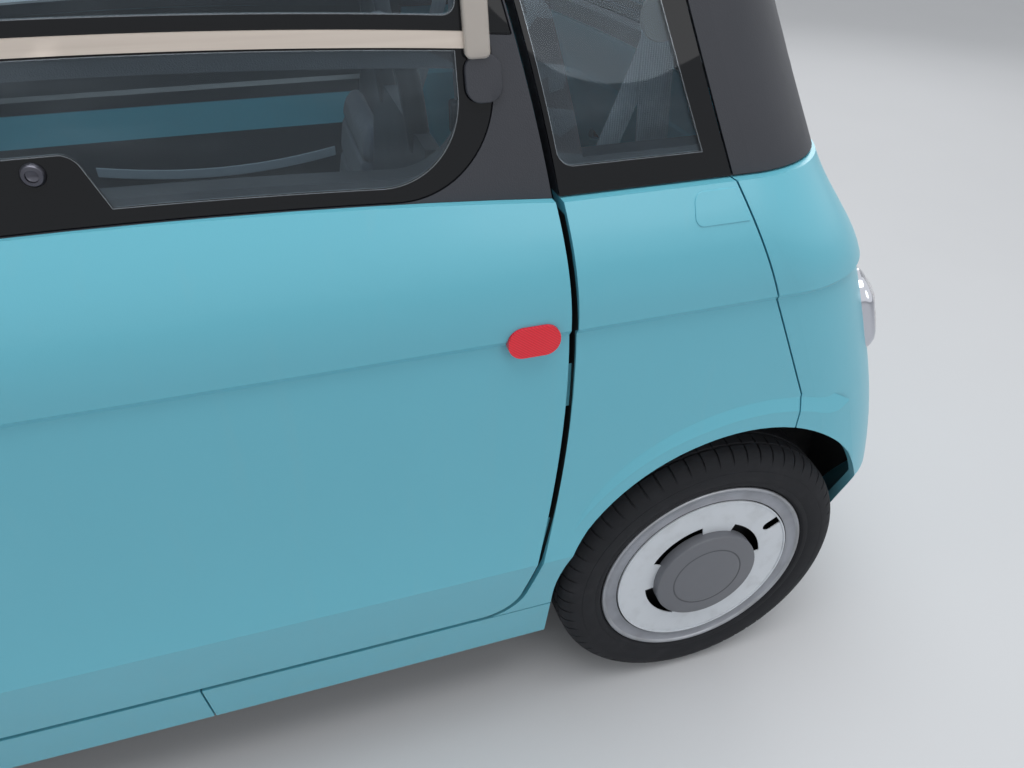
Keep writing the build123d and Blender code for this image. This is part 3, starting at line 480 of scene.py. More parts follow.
anodised = Finish("anodised_bar", screen(206, 194, 182), 0.5, Metallic=0.35)
at, x, y, z = anodised.place()
brushed = anodised.noise(anodised.stretch(at, (60.0, 1.5, 60.0)), 3.0, 3.0)
anodised.set("Roughness", 0.46 + brushed * 0.14)
anodised.set("Base Color", anodised.mix(brushed, screen(186, 174, 164), screen(206, 196, 186)))
clear_tab = Finish("clear_tab", screen(196, 188, 180), 0.2, Alpha=0.6, Coat_Weight=0.3)
at, x, y, z = clear_tab.place()
clear_tab.set("Roughness", 0.12 + clear_tab.noise(at, 60, 2.0) * 0.2)
stud_finish = Finish("dark_stud", screen(88, 88, 96), 0.3, Metallic=0.9)
at, x, y, z = stud_finish.place()
stud_finish.set("Roughness", 0.22 + stud_finish.noise(at, 120, 2.0) * 0.2)
bar_low, bar_high, bar_end = 0.1562, 0.1718, 0.458
crown = [bar_end * k / 12 for k in range(-12, 13)]
bar_outline = [(y, belt_top + bar_low - belt_bend * y * y) for y in crown]
bar_outline += [(y, belt_top + bar_high - belt_bend * y * y) for y in reversed(crown)]
door_skin = ("door_left_frame", "door_left_glass")
bar_line = lambda y: belt_top + (bar_low + bar_high) / 2 - belt_bend * y * y
shapes = (
    ("window_bar", bar_outline, 0.0045, 0.0045, anodised, 0.002, "glazing"),
    ("window_tab", rounded_outline(0.456, 0.484, 1.172, 1.268, 0.007), 0.011, 0.011, clear_tab, 0.003, "lens"),
    ("window_pivot", rounded_outline(0.455, 0.496, 1.128, 1.176, 0.016), 0.007, 0.007, grained, 0.003, "black_plastic"),
)
for name, outline, lift, depth, finish, edge, slot in shapes:
    mesh = laid_on(name, door_skin, outline, lift, depth, line=bar_line if name == "window_bar" else None)
    for side, place in (("left", None), ("right", half_turn)):
        soften(piece(f"{name}_{side}", mesh, finish, f"door_{side}", place), edge)
stud_y, stud_z = 0.023, 1.097
stud_profile = [(-0.002, 0.0115), (0.003, 0.0115), (0.0055, 0.0095), (0.006, 0.0062), (0.003, 0.0058), (0.0015, 0.003), (0.0015, 0)]
stud_mesh = spun("latch_stud", stud_profile, 6 * 8)
stud_place = Matrix.Translation(skin(door_skin, stud_y, stud_z))
piece("latch_stud_left", stud_mesh, stud_finish, "door_left", stud_place)
piece("latch_stud_right", stud_mesh, stud_finish, "door_right", half_turn @ stud_place)
cover_outline = [(y, z) for y, z in rounded_outline(0.727, 0.76, 0.972, 1.012, 0.012) if y < 0.745]
cover_outline += [(seam_belt_y - 0.006 + (belt_side_z - z) * seam_lean, z) for z in (0.972, 1.012)]
flush_cover = piece("flush_cover", laid_on("flush_cover", ("wings_left",), cover_outline, 0.0012, 0.004, 0.01), panel_finish, "root")
soften(flush_cover, 0.001, 2)

# Lamps: plated housings with rounded rims and clear domes, upright on the tail corners and
# round at the nose, clipped into pockets, and red prism reflectors pressed into the doors.
plated = Finish("plated_bright", (0.58, 0.59, 0.64), 0.12, Metallic=1.0)
at, x, y, z = plated.place()
plated.set("Roughness", 0.07 + plated.noise(at, 25, 2.0) * 0.1)
lens = Finish("clear_moulding", (0.62, 0.64, 0.68), 0.05, Alpha=0.35, Coat_Weight=0.5)
at, x, y, z = lens.place()
lens.set("Normal", lens.bump((z * 1400).wave().most((x * 900).wave()), 0.0006, 0.5))
ruby = Finish("ruby_lamp", screen(170, 16, 26), 0.12, Coat_Weight=0.6)
at, x, y, z = ruby.place()
ruby.set("Normal", ruby.bump((z * 2200).wave(), 0.0005, 0.5))


def oval_shell(name, half_width, half_height, rings, crown=None):
    """A closed shell from ovals, each given as how far it is drawn in and its height.

    Where a crown is given, heights fall off to nothing that far above and below the middle.
    """
    work = bmesh.new()
    loops = []
    for inset, height in rings:
        wide, tall = half_width - inset, half_height - inset
        loop = []
        for u, v in rounded_outline(-wide, wide, -tall, tall, wide, 12):
            fall = max(0, 1 - (v / crown) ** 2) ** 0.6 if crown and height > 0 else 1
            loop.append(work.verts.new((u, v, height * fall)))
        loops.append(loop)
    for ring, above in zip(loops, loops[1:]):
        for k in range(len(ring)):
            after = (k + 1) % len(ring)
            work.faces.new((ring[k], ring[after], above[after], above[k]))
    work.faces.new(loops[0])
    work.faces.new(loops[-1])
    return meshed(name, work)


# How far each ring is drawn in from the housing's edge, and its height over the body.
rim_rings = (
    (0.0000, -0.0300), (0.0000, 0.0010), (0.0010, 0.0065), (0.0032, 0.0112), (0.0068, 0.0148), (0.0108, 0.0160),
    (0.0136, 0.0150), (0.0148, 0.0120), (0.0160, 0.0040), (0.0220, 0.0010), (0.0300, 0.0000),
)
dome_rings = ((0.0150, 0.0100), (0.0150, 0.0132), (0.0172, 0.0164), (0.0215, 0.0188), (0.0280, 0.0204), (0.0360, 0.0212))
bulb_rings = ((0.0, -0.001), (0.0, 0.004), (0.002, 0.0072), (0.0055, 0.0095), (0.0100, 0.0108), (0.0150, 0.0112))
# Which end, half width, half height, how far the lens stands out, its crown, and its bulbs
# as height and radius.
lamp_units = {
    "tail": (1, 0.043, 0.070, 0.024, 0.066, ((0.024, 0.019), (-0.024, 0.019))),
    "head": (-1, 0.076, 0.076, 0.026, None, ((0, 0.040),)),
}
for name, (y_sign, half_width, half_height, front, crown_at, bulbs) in lamp_units.items():
    rim_mesh = oval_shell(f"{name}_lamp_rim", half_width, half_height, rim_rings, crown_at)
    dome_mesh = oval_shell(f"{name}_lamp_dome", half_width, half_height, dome_rings, crown_at)
    for side, x_sign in (("left", 1), ("right", -1)):
        outwards = Vector((x_sign, y_sign, 0))
        corner_faces = [
            face for face in nodes["lamp_lenses"].data.polygons
            if face.center.x * x_sign > 0 and face.center.y * y_sign > 0 and face.normal.dot(outwards) > 0.9
        ]
        normal = max(corner_faces, key=lambda face: face.area).normal.copy()
        points = [
            nodes["lamp_lenses"].data.vertices[corner].co
            for face in corner_faces if face.normal.dot(normal) > 0.999 for corner in face.vertices
        ]
        middle = Vector([(min(p[k] for p in points) + max(p[k] for p in points)) / 2 for k in range(3)])
        sideways = Vector((0, 0, 1)).cross(normal).normalized()
        axes = Matrix((sideways, normal.cross(sideways), normal)).transposed().to_4x4()
        place = Matrix.Translation(middle - normal * front) @ axes
        rim = piece(f"{name}_lamp_rim_{side}", rim_mesh, plated, "root", place, 60)
        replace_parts(rim, "lamp_housings")
        dome = piece(f"{name}_lamp_dome_{side}", dome_mesh, lens, "root", place, 60)
        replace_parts(dome, "lamp_lenses")
        for number, (rise, radius) in enumerate(bulbs):
            bulb_mesh = oval_shell(f"{name}_lamp_bulb", radius, radius, bulb_rings)
            bulb_place = place @ Matrix.Translation((0, rise, 0))
            bulb_finish, bulb_slot = (ruby, "red_lens") if name == "tail" else (plated, "lamp_metal")
            piece(f"{name}_lamp_bulb_{side}_{number}", bulb_mesh, bulb_finish, "root", bulb_place, 60)
red = Finish("red_reflector", screen(232, 22, 44), 0.3, Coat_Weight=0.25)
at, x, y, z = red.place()
prisms = (y * 1300 + z * 1700).wave()
red.set("Normal", red.bump(prisms, 0.0004, 0.35))
red.set("Base Color", red.mix(prisms.step(-1.0, 1.0), screen(222, 14, 34), screen(240, 30, 56)))
red.cover("door_left_reflector", "door_right_reflector")

# Wheels: a radial tyre with four tread grooves and sipes across its shoulders, on a
# pressed steel rim with a rolled lip, behind a flat white cover with a grey cap.
wheel_x, axle_y, axle_z = 0.588, 0.864, 0.275
corners = {"front_left": (1, -1), "front_right": (-1, -1), "rear_left": (1, 1), "rear_right": (-1, 1)}
rubber = Finish("tyre_rubber", screen(28, 29, 33), 0.72, Specular_IOR_Level=0.3)
at, x, y, z = rubber.place()
scuffs = rubber.noise(at, 22, 5.0)
tread_dust = ((y ** 2 + z ** 2) ** 0.5).step(0.262, 0.274)
rubber.set("Roughness", 0.6 + scuffs * 0.3)
rubber.set("Base Color", rubber.mix((scuffs.step(0.45, 0.85) * 0.35 + tread_dust * 0.3).least(1), screen(25, 26, 30), screen(62, 62, 66)))
rubber.set("Normal", rubber.bump(rubber.noise(at, 900, 2.0), 0.0002, 0.4))
# distance from the tyre's middle, radius, how far a sipe cuts there
half_tyre = (
    (0.0640, 0.1805, 0), (0.0640, 0.1925, 0), (0.0662, 0.1975, 0), (0.0700, 0.2000, 0), (0.0738, 0.2040, 0),
    (0.0748, 0.2085, 0), (0.0740, 0.2120, 0), (0.0752, 0.2150, 0), (0.0768, 0.2220, 0), (0.0772, 0.2310, 0),
    (0.0768, 0.2365, 0), (0.0760, 0.2372, 0), (0.0762, 0.2384, 0), (0.0757, 0.2430, 0), (0.0744, 0.2490, 0),
    (0.0725, 0.2545, 0.0008), (0.0695, 0.2598, 0.0016), (0.0652, 0.2648, 0.0024), (0.0600, 0.2688, 0.0028),
    (0.0545, 0.2712, 0.0030), (0.0485, 0.2727, 0.0030), (0.0478, 0.2680, 0), (0.0430, 0.2680, 0),
    (0.0422, 0.2733, 0.0022), (0.0330, 0.2741, 0.0022), (0.0215, 0.2746, 0), (0.0208, 0.2680, 0), (0.0152, 0.2680, 0),
    (0.0145, 0.2748, 0), (0.0060, 0.2750, 0),
)
section = [(x, r, cut) for x, r, cut in half_tyre] + [(-x, r, cut) for x, r, cut in reversed(half_tyre)]
section.append(section[0])
sipes = 62
sipe_turn, sipe_wall = radians(0.55), radians(0.12)
work = bmesh.new()
rings = []
for sipe in range(sipes):
    start = 2 * pi * sipe / sipes
    land = 2 * pi / sipes - sipe_turn - 2 * sipe_wall
    turns = [(0, 0), (land / 3, 0), (land * 2 / 3, 0), (land, 0), (land + sipe_wall, 1), (land + sipe_wall + sipe_turn, 1)]
    for turn, cut_here in turns:
        angle = start + turn
        ring = []
        for x, r, cut in section:
            radius = r - cut * cut_here
            side = x - cut * cut_here * 0.6 * (1 if x > 0 else -1) * (1 if abs(x) > 0.065 else 0)
            ring.append(work.verts.new((side, radius * cos(angle), radius * sin(angle))))
        rings.append(ring)
for ring, after in zip(rings, rings[1:] + rings[:1]):
    for k in range(len(section) - 1):
        work.faces.new((ring[k], ring[k + 1], after[k + 1], after[k]))
tyre_mesh = meshed("tyre", work)

# distance from the rim's middle and radius: the barrel, its well and its rolled lips
rim_profile = (
    (0.0610, 0.1680), (0.0570, 0.1640), (0.0500, 0.1625), (-0.0500, 0.1625), (-0.0600, 0.1700), (-0.0690, 0.1780),
    (-0.0700, 0.1900), (-0.0712, 0.1935), (-0.0700, 0.1955), (-0.0672, 0.1945), (-0.0665, 0.1920), (-0.0655, 0.1800),
    (0.0635, 0.1800), (0.0640, 0.1925), (0.0655, 0.1955), (0.0685, 0.1972), (0.0715, 0.1968), (0.0730, 0.1950),
    (0.0728, 0.1928), (0.0712, 0.1905), (0.0690, 0.1885), (0.0655, 0.1760), (0.0645, 0.1690), (0.0610, 0.1680),
)
rim_mesh = spun("rim", rim_profile, 144)
silver = Finish("silver_wheel_paint", screen(158, 161, 167), 0.32, Metallic=0.55)
at, x, y, z = silver.place()
dull = silver.noise(at, 18, 4.0)
silver.set("Roughness", 0.26 + dull * 0.2)
silver.set("Base Color", silver.mix(dull.step(0.35, 0.8) * 0.6, screen(164, 167, 173), screen(122, 122, 122)))
# The steel behind the cover, silver on the real wheel, is painted near-black as painted shade; its outer face is
# silver, hollowed below the lip.
steel = Finish("wheel_steel", screen(34, 35, 37), 0.5, Metallic=0.35)
at, x, y, z = steel.place()
from_axle = ((abs(y) - axle_y) ** 2 + (z - axle_z) ** 2) ** 0.5
outer = (abs(x) - wheel_x).step(0.0690, 0.0695) * from_axle.step(0.1690, 0.1696)
hollow = abs((from_axle - 0.1805) / 0.0115).least(1) ** 2
worn = steel.noise(at, 18, 4.0)
paint = steel.mix(worn.step(0.35, 0.8) * 0.5, screen(152, 155, 163), screen(118, 119, 122))
steel.set("Base Color", steel.mix(outer, screen(30, 31, 33), paint))
steel.set("Roughness", 0.34 + worn * 0.25)
steel.set("Normal", steel.bump(hollow * outer, 0.004, 0.9))
steel.cover(*[f"wheel_{corner}" for corner in corners])
white_cover = Finish("white_cover", screen(214, 218, 222), 0.4)
at, x, y, z = white_cover.place()
grime = white_cover.noise(at, 30, 4.0).step(0.45, 0.85) * 0.22
white_cover.set("Base Color", white_cover.mix(grime, screen(208, 213, 219), screen(120, 118, 112)))
white_cover.set("Roughness", 0.34 + grime)
grey_cap = Finish("grey_cap", screen(104, 106, 112), 0.45)
at, x, y, z = grey_cap.place()
from_centre = (y ** 2 + z ** 2) ** 0.5
# The groove round the cap is painted darker, as painted shade in the groove.
groove = from_centre.step(0.0640, 0.0648) * (1 - from_centre.step(0.0668, 0.0676))
grey_cap.set("Base Color", grey_cap.mix(groove, screen(104, 106, 112), screen(70, 72, 77)))
grey_cap.set("Roughness", 0.4 + grey_cap.noise(at, 40, 3.0) * 0.12)


def cover_plate():
    """The flat cover: a disc with a notch for the valve and four arc slots."""
    line = bpy.data.curves.new("cover_plate", "CURVE")
    line.dimensions, line.fill_mode = "2D", "BOTH"
    line.extrude, line.bevel_depth, line.bevel_resolution = 0.0008, 0.0005, 2

    def ring(radius, start, end, steps):
        turns = [radians(start + (end - start) * k / steps) for k in range(steps + 1)]
        return [(radius * cos(turn), radius * sin(turn)) for turn in turns]

    bends = [pi / 2 * (1 - k / 6) for k in range(13)]
    notch = [(notch_inner + notch_half * (1 - cos(bend)), notch_half * sin(bend)) for bend in bends]
    notch = [(u * cos(notch_way) - v * sin(notch_way), u * sin(notch_way) + v * cos(notch_way)) for u, v in notch]
    mouth = degrees(asin(notch_half / cover_radius))
    edge = ring(cover_radius, degrees(notch_way) + mouth, degrees(notch_way) + 360 - mouth, 120)
    outlines = [edge + notch[::-1]]
    for quarter in range(4):
        low = slot_turn + 90 * quarter - half_slot
        outlines.append(ring(slot_outer, low, low + 2 * half_slot, 12) + ring(slot_inner, low + 2 * half_slot, low, 12))
    for outline in outlines:
        spline = line.splines.new("POLY")
        spline.points.add(len(outline) - 1)
        spline.use_cyclic_u = True
        for point, (u, v) in zip(spline.points, outline):
            point.co = (u, v, 0, 1)
    holder = bpy.data.objects.new("cover_plate_line", line)
    mesh = bpy.data.meshes.new_from_object(holder)
    bpy.data.objects.remove(holder)
    mesh.name = "cover_plate"
    mesh.materials.clear()
    upright = Matrix(((0, 0, 1, 0.0690), (1, 0, 0, 0), (0, 1, 0, 0), (0, 0, 0, 1)))
    mesh.transform(upright)
    return mesh


cover_radius, slot_inner, slot_outer = 0.1655, 0.095, 0.114
slot_turn, half_slot = 37, 28.5
notch_way, notch_inner, notch_half = radians(33), 0.131, 0.0105
plate_mesh = cover_plate()
cap_profile = (
    (0.0660, 0), (0.0660, 0.0975), (0.0830, 0.0975), (0.0848, 0.0968), (0.0858, 0.0950), (0.0868, 0.0690), (0.0872, 0.0670),
    (0.0866, 0.0655), (0.0872, 0.0640), (0.0880, 0.0600), (0.0886, 0.0300), (0.0888, 0),
)
cap_mesh = spun("cover_cap", cap_profile, 96)
# The cover's outer edge is a raised lip.
lip_profile = ((0.0685, 0.1640), (0.0722, 0.1642), (0.0728, 0.1655), (0.0722, 0.1668), (0.0685, 0.1670), (0.0685, 0.1640))
lip_mesh = spun("cover_lip", lip_profile, 144)
for corner, (x_sign, y_sign) in corners.items():
    place = Matrix.Translation((x_sign * wheel_x, y_sign * axle_y, axle_z))
    if x_sign < 0:
        place = place @ half_turn
    body = f"wheel_{corner}"
    tyre = piece(f"treaded_tyre_{corner}", tyre_mesh, rubber, body, place, 30)
    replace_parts(tyre, f"tyre_{corner}")
    piece(f"rolled_rim_{corner}", rim_mesh, silver, body, place, 50)
    piece(f"cover_lip_{corner}", lip_mesh, white_cover, body, place, 50)
    for part, mesh, finish in (("cover_plate", plate_mesh, white_cover), ("cover_cap", cap_mesh, grey_cap)):
        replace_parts(piece(f"{part}_{corner}", mesh, finish, body, place, 40), f"cover_{corner}")

# Cabin plastics: dark moulded seat shells, the steering wheel and column, with a matt
# grain. The seat shells are bolted to the battery box and the floor.
cabin = Finish("cabin_plastic", screen(50, 53, 60), 0.58)
at, x, y, z = cabin.place()
cabin.set("Roughness", 0.5 + cabin.noise(at, 12, 3.0) * 0.16)
cabin.set("Normal", cabin.bump(cabin.add("ShaderNodeTexVoronoi", inputs={"Vector": at, "Scale": 480.0}), 0.0004, 0.4))
cabin.set("Base Color", cabin.mix(cabin.noise(at, 4, 2.0), screen(46, 49, 56), screen(56, 59, 66)))
cabin.cover("seat_shells", "steering_column", "steering_wheel", "dashboard")
panel_finish.cover("dashboard")


def bent_rod(name, points, radius, finish, body, place=None, order=3):
    """A round bar, tube or blade along a smooth line."""
    line = bpy.data.curves.new(name, "CURVE")
    line.dimensions, line.bevel_depth, line.bevel_resolution, line.resolution_u = "3D", radius, 4, 8
    line.use_fill_caps = True
    spline = line.splines.new("NURBS")
    spline.points.add(len(points) - 1)
    for point, where in zip(spline.points, points):
        point.co = (*where, 1)
    spline.order_u, spline.use_endpoint_u = order, True
    holder = bpy.data.objects.new(name + "_line", line)
    mesh = bpy.data.meshes.new_from_object(holder)
    bpy.data.objects.remove(holder)
    mesh.name = name
    mesh.materials.clear()
    return piece(name, mesh, finish, body, place, 50)


def block(name, size, place, finish, body, edge=0.008):
    """A moulded box with rounded edges, at a place in the car's frame."""
    work = bmesh.new()
    bmesh.ops.create_cube(work, size=1)
    bmesh.ops.scale(work, vec=size, verts=work.verts)
    made = piece(name, meshed(name, work), finish, body, place, 30)
    soften(made, edge, 4)
    return made


def strap(name, points, width_way, width, thickness, finish, body, place=None):
    """Flat webbing through a list of points, with its width along one direction."""
    work = bmesh.new()
    across = Vector(width_way).normalized() * (width / 2)
    centres = [Vector(point) for point in points]
    rings = []
    for k, centre in enumerate(centres):
        along = centres[min(k + 1, len(centres) - 1)] - centres[max(k - 1, 0)]
        out = along.cross(across).normalized() * (thickness / 2)
        rings.append([work.verts.new(centre + a * across + b * out) for a, b in ((1, 1), (-1, 1), (-1, -1), (1, -1))])
    for ring, after in zip(rings, rings[1:]):
        for k in range(4):
            work.faces.new((ring[k], ring[(k + 1) % 4], after[(k + 1) % 4], after[k]))
    work.faces.new(rings[0])
    work.faces.new(rings[-1][::-1])
    return piece(name, meshed(name, work), finish, body, place, 40)


# Dashboard fittings: a small display under a hood, two stalks on the column, two hung
# pedals and a tray between the seats with the parking lever.
screen_glass = Finish("display_glass", screen(12, 14, 18), 0.08, Coat_Weight=0.4)
at, x, y, z = screen_glass.place()
screen_glass.set("Roughness", 0.06 + screen_glass.noise(at, 30, 2.0) * 0.08)
display_place = Matrix.Translation((0.3, -0.705, 0.908)) @ Matrix.Rotation(radians(-14), 4, "X")
block("display_hood", (0.19, 0.07, 0.088), display_place, cabin, "root", 0.014)
glass_place = display_place @ Matrix.Translation((0, 0.0345, 0.002))
block("display_glass", (0.16, 0.004, 0.064), glass_place, screen_glass, "root", 0.0018)
for side, reach in (("left", 1), ("right", -1)):
    stalk = [(0.3 + reach * 0.026, -0.452, 0.868), (0.3 + reach * 0.075, -0.445, 0.876), (0.3 + reach * 0.135, -0.43, 0.884)]
    bent_rod(f"stalk_{side}", stalk, 0.0075, cabin, "root")
for name, pedal_x in (("brake", 0.33), ("drive", 0.23)):
    hang = [(pedal_x, -0.735, 0.757), (pedal_x, -0.765, 0.6), (pedal_x, -0.765, 0.45), (pedal_x, -0.735, 0.37)]
    bent_rod(f"pedal_arm_{name}", hang, 0.009, cabin, "root")
    pad_place = Matrix.Translation((pedal_x, -0.728, 0.352)) @ Matrix.Rotation(radians(-28), 4, "X")
    block(f"pedal_pad_{name}", (0.06, 0.012, 0.085), pad_place, cabin, "root", 0.004)
block("middle_tray", (0.15, 0.3, 0.05), Matrix.Translation((0, 0.13, 0.443)), cabin, "root", 0.012)
lever = [(0.02, 0.20, 0.465), (0.02, 0.12, 0.49), (0.02, 0.02, 0.535), (0.02, -0.04, 0.56)]
bent_rod("parking_lever", lever, 0.012, cabin, "root")

# Seat pads: woven covers sewn in bands over shaped foam, which press-stud onto the
# shells. They are puffed up by a short cloth simulation and lie flat on the shell.
fabric = Finish("seat_fabric", screen(58, 62, 72), 0.92, Sheen_Weight=0.25, Sheen_Roughness=0.4)
at, x, y, z = fabric.place()
warp, weft = (x * 3900).wave(), (y * 3900).wave()
fabric.set("Normal", fabric.bump(warp * 0.5 + weft * 0.5 + (x * 3900 + y * 3900).wave() * 0.4, 0.0004, 0.7))
heather = fabric.noise(at, 260, 3.0)
fabric.set("Base Color", fabric.mix(heather, screen(46, 50, 60), screen(74, 79, 90)))
fabric.set("Roughness", 0.85 + heather * 0.12)
shell_half, pad_width, pad_side_gap = 0.0113, 0.39, 0.02
pad_runs = {"cushion": ((-0.12, 0.452), (0.28, 0.43), 0.052), "backrest": ((0.345, 0.47), (0.425, 0.9), 0.044)}
seat_places = {"left": (0.3, 0.0), "right": (-0.3, 0.06)}
pad_voxel, pad_travel = 0.0055, 0.008


def puffed_pad(name, width, run, thickness):
    """A crowned pad, puffed up by cloth simulation, with sewn channels across it."""
    work = bmesh.new()
    rings = []
    for height, inset in ((0.0, 0.010), (0.35, 0.004), (0.62, 0.009), (0.78, 0.024)):
        half_run, half_width = run / 2 - inset, width / 2 - inset
        outline = rounded_outline(-half_run, half_run, -half_width, half_width, 0.045)
        rings.append([work.verts.new((x, y, height * thickness)) for y, x in outline])
    for ring, above in zip(rings, rings[1:]):
        for k in range(len(ring)):
            after = (k + 1) % len(ring)
            work.faces.new((ring[k], ring[after], above[after], above[k]))
    work.faces.new(rings[0])
    work.faces.new(rings[-1])
    maker = bpy.data.objects.new(name + "_maker", meshed(name + "_start", work))
    scene.collection.objects.link(maker)
    remesh = maker.modifiers.new("remesh", "REMESH")
    remesh.mode, remesh.voxel_size = "VOXEL", pad_voxel
    mesh = bpy.data.meshes.new_from_object(maker.evaluated_get(bpy.context.evaluated_depsgraph_get()))
    maker.modifiers.clear()
    maker.data = mesh
    cloth = maker.modifiers.new("cloth", "CLOTH")
    cloth.settings.use_pressure = True
    cloth.settings.uniform_pressure_force = 4
    cloth.settings.effector_weights.gravity = 0
    for frame_number in range(1, 21):
        scene.frame_set(frame_number)
    blown = bpy.data.meshes.new_from_object(maker.evaluated_get(bpy.context.evaluated_depsgraph_get()))
    maker.modifiers.clear()
    scene.frame_set(1)
    for vert, after in zip(mesh.vertices, blown.vertices):
        move = after.co - vert.co
        vert.co += move * min(1, pad_travel / max(move.length, 1e-9))
    channels = [run * (k / 5 - 0.5) for k in range(1, 5)]
    for vert in mesh.vertices:
        rise = max(0, min(1, vert.co.z / thickness * 2 - 0.5))
        for channel in channels:
            vert.co.z -= 0.0065 * rise * 2.718 ** (-(((vert.co.y - channel) / 0.0055) ** 2))
        vert.co.z = min(max(vert.co.z, 0), thickness)
    mesh.materials.append(fabric.material)
    mesh.shade_smooth()
    bpy.data.objects.remove(maker)
    return mesh


for name, (low, high, thickness) in pad_runs.items():
    run = Vector((0, high[0] - low[0], high[1] - low[1]))
    normal = Vector((1, 0, 0)).cross(run).normalized()
    mesh = puffed_pad(name, pad_width, run.length - 2 * pad_side_gap, thickness)
    for side, (seat_x, seat_shift) in seat_places.items():
        middle = Vector((seat_x, (low[0] + high[0]) / 2 + seat_shift, (low[1] + high[1]) / 2))
        axes = Matrix((Vector((1, 0, 0)), run.normalized(), normal)).transposed().to_4x4()
        pad = piece(f"{name}_{side}", mesh, fabric, "root", Matrix.Translation(middle + normal * shell_half) @ axes)
        pad.modifiers.new("smooth", "SUBSURF").levels = 1
        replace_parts(pad, "seat_pads")

# Head loops: a bent tube over the top of each seat shell, covered in soft plastic.
for side, (seat_x, seat_shift) in seat_places.items():
    top_y, top_z = 0.438 + seat_shift, 1.035
    half_loop = ((0.125, 0, -0.02), (0.132, -0.006, 0.05), (0.118, -0.012, 0.098), (0.06, -0.014, 0.108))
    loop = [(seat_x - x, top_y + y, top_z + z) for x, y, z in half_loop]
    loop += [(seat_x + x, top_y + y, top_z + z) for x, y, z in reversed(half_loop)]
    bent_rod(f"head_loop_{side}", loop, 0.016, cabin, "root", order=4)

# Belts: light webbing from a round guide on the rear pillar to the seat's outer side and
# down to its reel, with a metal tongue and a stitched end.
webbing = Finish("belt_webbing", screen(150, 156, 164), 0.8)
at, x, y, z = webbing.place()
ribs = (z * 2600).wave() + (y * 1900).wave()
webbing.set("Normal", webbing.bump(ribs, 0.0004, 0.6))
webbing.set("Base Color", webbing.mix(webbing.noise(at, 90, 3.0), screen(138, 144, 152), screen(166, 172, 178)))
guide_profile = [(0, 0), (0, 0.03), (0.004, 0.0315), (0.008, 0.029), (0.0095, 0.02), (0.011, 0.0125), (0.015, 0.011), (0.015, 0)]
guide_mesh = spun("belt_guide", guide_profile)
for side, sign in (("left", 1), ("right", -1)):
    guide = Vector((sign * 0.553, 0.722, 1.19))
    turned = Matrix.Translation(guide) @ Matrix.Rotation(0 if sign < 0 else pi, 4, "Z")
    piece(f"belt_guide_{side}", guide_mesh, clear_tab, "root", turned)
    hang = guide + Vector((-sign * 0.014, 0, -0.012))
    seat_side = Vector((sign * 0.514, 0.35 + (0.06 if sign < 0 else 0), 0.47))
    sag = [hang.lerp(seat_side, k / 12) + Vector((0, 0.028 * sin(pi * k / 12), -0.02 * sin(pi * k / 12))) for k in range(13)]
    strap(f"belt_front_{side}", sag, (0, 1, 0.5), 0.046, 0.0016, webbing, "root")
    reel = Vector((sign * 0.545, 0.735, 0.8))
    down = [hang.lerp(reel, k / 6) for k in range(7)]
    strap(f"belt_back_{side}", down, (0, 1, 0), 0.046, 0.0016, webbing, "root")
    block(f"belt_reel_{side}", (0.05, 0.075, 0.09), Matrix.Translation(reel - Vector((0, 0, 0.04))), cabin, "root", 0.012)
    tongue = Matrix.Translation(sag[7]) @ Matrix.Rotation(radians(38), 4, "X")
    block(f"belt_tongue_{side}", (0.012, 0.06, 0.07), tongue, cabin, "root", 0.004)

# Door pulls inside: a light bowed strip across each door, screwed on at both ends.
strip_finish = Finish("light_strip", screen(150, 160, 170), 0.5)
at, x, y, z = strip_finish.place()
strip_finish.set("Roughness", 0.42 + strip_finish.noise(at, 24, 3.0) * 0.16)
strip_line = []
for k in range(13):
    y = -0.19 + 0.59 * k / 12
    z = 0.648 + 0.28 * (y - 0.105) ** 2
    found = nodes["door_right_panel"].ray_cast((0, y, z), (-1, 0, 0))
    strip_line.append((found[1].x + 0.004 + 0.012 * sin(pi * k / 12), y, z))
for side, place in (("right", None), ("left", half_turn)):
    pull = strap(f"door_strip_{side}", strip_line, (0, 0, 1), 0.024, 0.006, strip_finish, f"door_{side}", place)
    soften(pull, 0.002, 2)

# Nose: one wiper on a spindle under the windscreen, a plain bright bar between the
# headlamps and a ribbed black intake low down. They screw on from behind the panel.
screen_nodes = ("fixed_glass",)
blade = [skin(screen_nodes, x, 1.062 + 0.05 * (0.36 - x), "nose") - Vector((0, 0.007, 0)) for x in (0.36, 0.2, 0.04, -0.12, -0.26)]
bent_rod("wiper_blade", blade, 0.0055, grained, "root")
spindle = skin(("window_frame", "fixed_glass"), 0.30, 1.034, "nose")
wiper_arm = [spindle, spindle - Vector((0, 0.02, 0)), spindle - Vector((0.06, 0.026, -0.016)), blade[2] - Vector((0, 0.004, 0))]
bent_rod("wiper_arm", wiper_arm, 0.006, grained, "root")
bar_line = [skin(("front_panel",), -0.2 + 0.05 * k, 0.742, "nose") + Vector((0, 0.001, 0)) for k in range(9)]
bent_rod("nose_bar", bar_line, 0.007, plated, "root")
intake_outline = rounded_outline(-0.26, 0.26, 0.36, 0.43, 0.03)
intake_mesh = laid_on("nose_intake", ("front_panel",), intake_outline, 0.0014, 0.006, 0.04, "nose")
intake = piece("nose_intake", intake_mesh, grained, "root")
soften(intake, 0.0012, 2)
rib_depth = Vector((0, 0.0004, 0))
for rib in range(4):
    rib_z = 0.371 + 0.016 * rib
    rib_line = [skin(("front_panel",), -0.235 + 0.094 * k, rib_z, "nose") + rib_depth for k in range(6)]
    bent_rod(f"intake_rib_{rib}", rib_line, 0.0035, grained, "root")

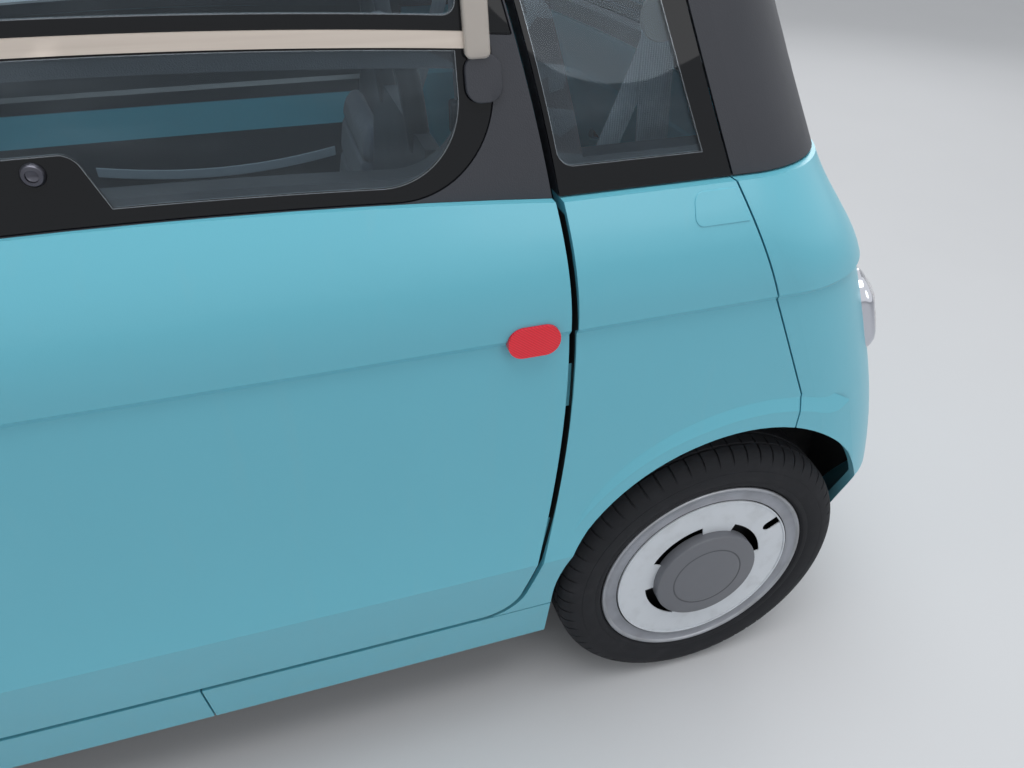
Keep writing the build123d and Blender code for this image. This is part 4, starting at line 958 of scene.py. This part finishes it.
# Mirror glasses: flat silvered plates in the backs of the mirror shells.
silvered = Finish("silvered_glass", (0.8, 0.82, 0.84), 0.03, Metallic=1.0)
at, x, y, z = silvered.place()
silvered.set("Roughness", 0.02 + silvered.noise(at, 20, 2.0) * 0.04)
for side, sign in (("left", 1), ("right", -1)):
    work = bmesh.new()
    glass_edge = rounded_outline(-0.043, 0.043, -0.066, 0.066, 0.034)
    work.faces.new([work.verts.new((sign * 0.742 + x, -0.4805, 1.112 + z)) for x, z in glass_edge])
    back = bmesh.ops.extrude_face_region(work, geom=work.faces[:])
    for item in back["geom"]:
        if isinstance(item, bmesh.types.BMVert):
            item.co.y += 0.003
    plate = piece(f"mirror_glass_{side}", meshed("mirror_glass", work), silvered, f"door_{side}")
    soften(plate, 0.001, 2)

# Running gear and frame: black coated steel tubes and arms, a cast drive unit and a
# coated battery case, bolted up under the floor. Press studs hold the wheel liners.
coated = Finish("black_coated_steel", screen(40, 41, 44), 0.45, Metallic=0.2)
at, x, y, z = coated.place()
grit = coated.noise(at, 20, 5.0)
coated.set("Roughness", 0.36 + grit * 0.3)
coated.set("Base Color", coated.mix(grit.step(0.5, 0.8) * (1 - z.step(0.15, 0.5)), screen(38, 39, 42), screen(78, 74, 68)))
coated.cover("tube_frame", "floor_pan", "battery_block", "knuckle_left", "knuckle_right", "front_arms", "rear_suspension")
cast = Finish("cast_casing", screen(142, 144, 147), 0.5, Metallic=0.8)
at, x, y, z = cast.place()
pitted = cast.noise(at, 160, 3.0)
cast.set("Roughness", 0.4 + pitted * 0.25)
cast.set("Normal", cast.bump(pitted, 0.0006, 0.5))
cast.cover("drive_block")
liner = Finish("pressed_liner", screen(26, 27, 30), 0.78)
at, x, y, z = liner.place()
fuzz = liner.noise(at, 500, 3.0)
liner.set("Normal", liner.bump(fuzz, 0.001, 0.6))
liner.set("Roughness", 0.7 + fuzz * 0.2)
liner.set("Base Color", liner.mix(liner.noise(at, 16, 4.0).step(0.5, 0.8), screen(24, 25, 28), screen(46, 45, 43)))
liner.cover("wheel_liners")
stud_profile = [(-0.002, 0), (-0.002, 0.011), (0.002, 0.011), (0.0045, 0.008), (0.005, 0)]
liner_stud = spun("liner_stud", stud_profile, 24)
arch_z, liner_inside = 0.327, 0.329
for corner, (x_sign, y_sign) in corners.items():
    for turn in (22, 75, 128):
        around = Vector((0, y_sign * cos(radians(turn)), sin(radians(turn))))
        seat = Vector((x_sign * 0.615, y_sign * axle_y, arch_z)) + around * liner_inside
        facing = (-around).to_track_quat("X", "Z").to_matrix().to_4x4()
        piece(f"liner_stud_{corner}_{turn}", liner_stud, liner, "root", Matrix.Translation(seat) @ facing)
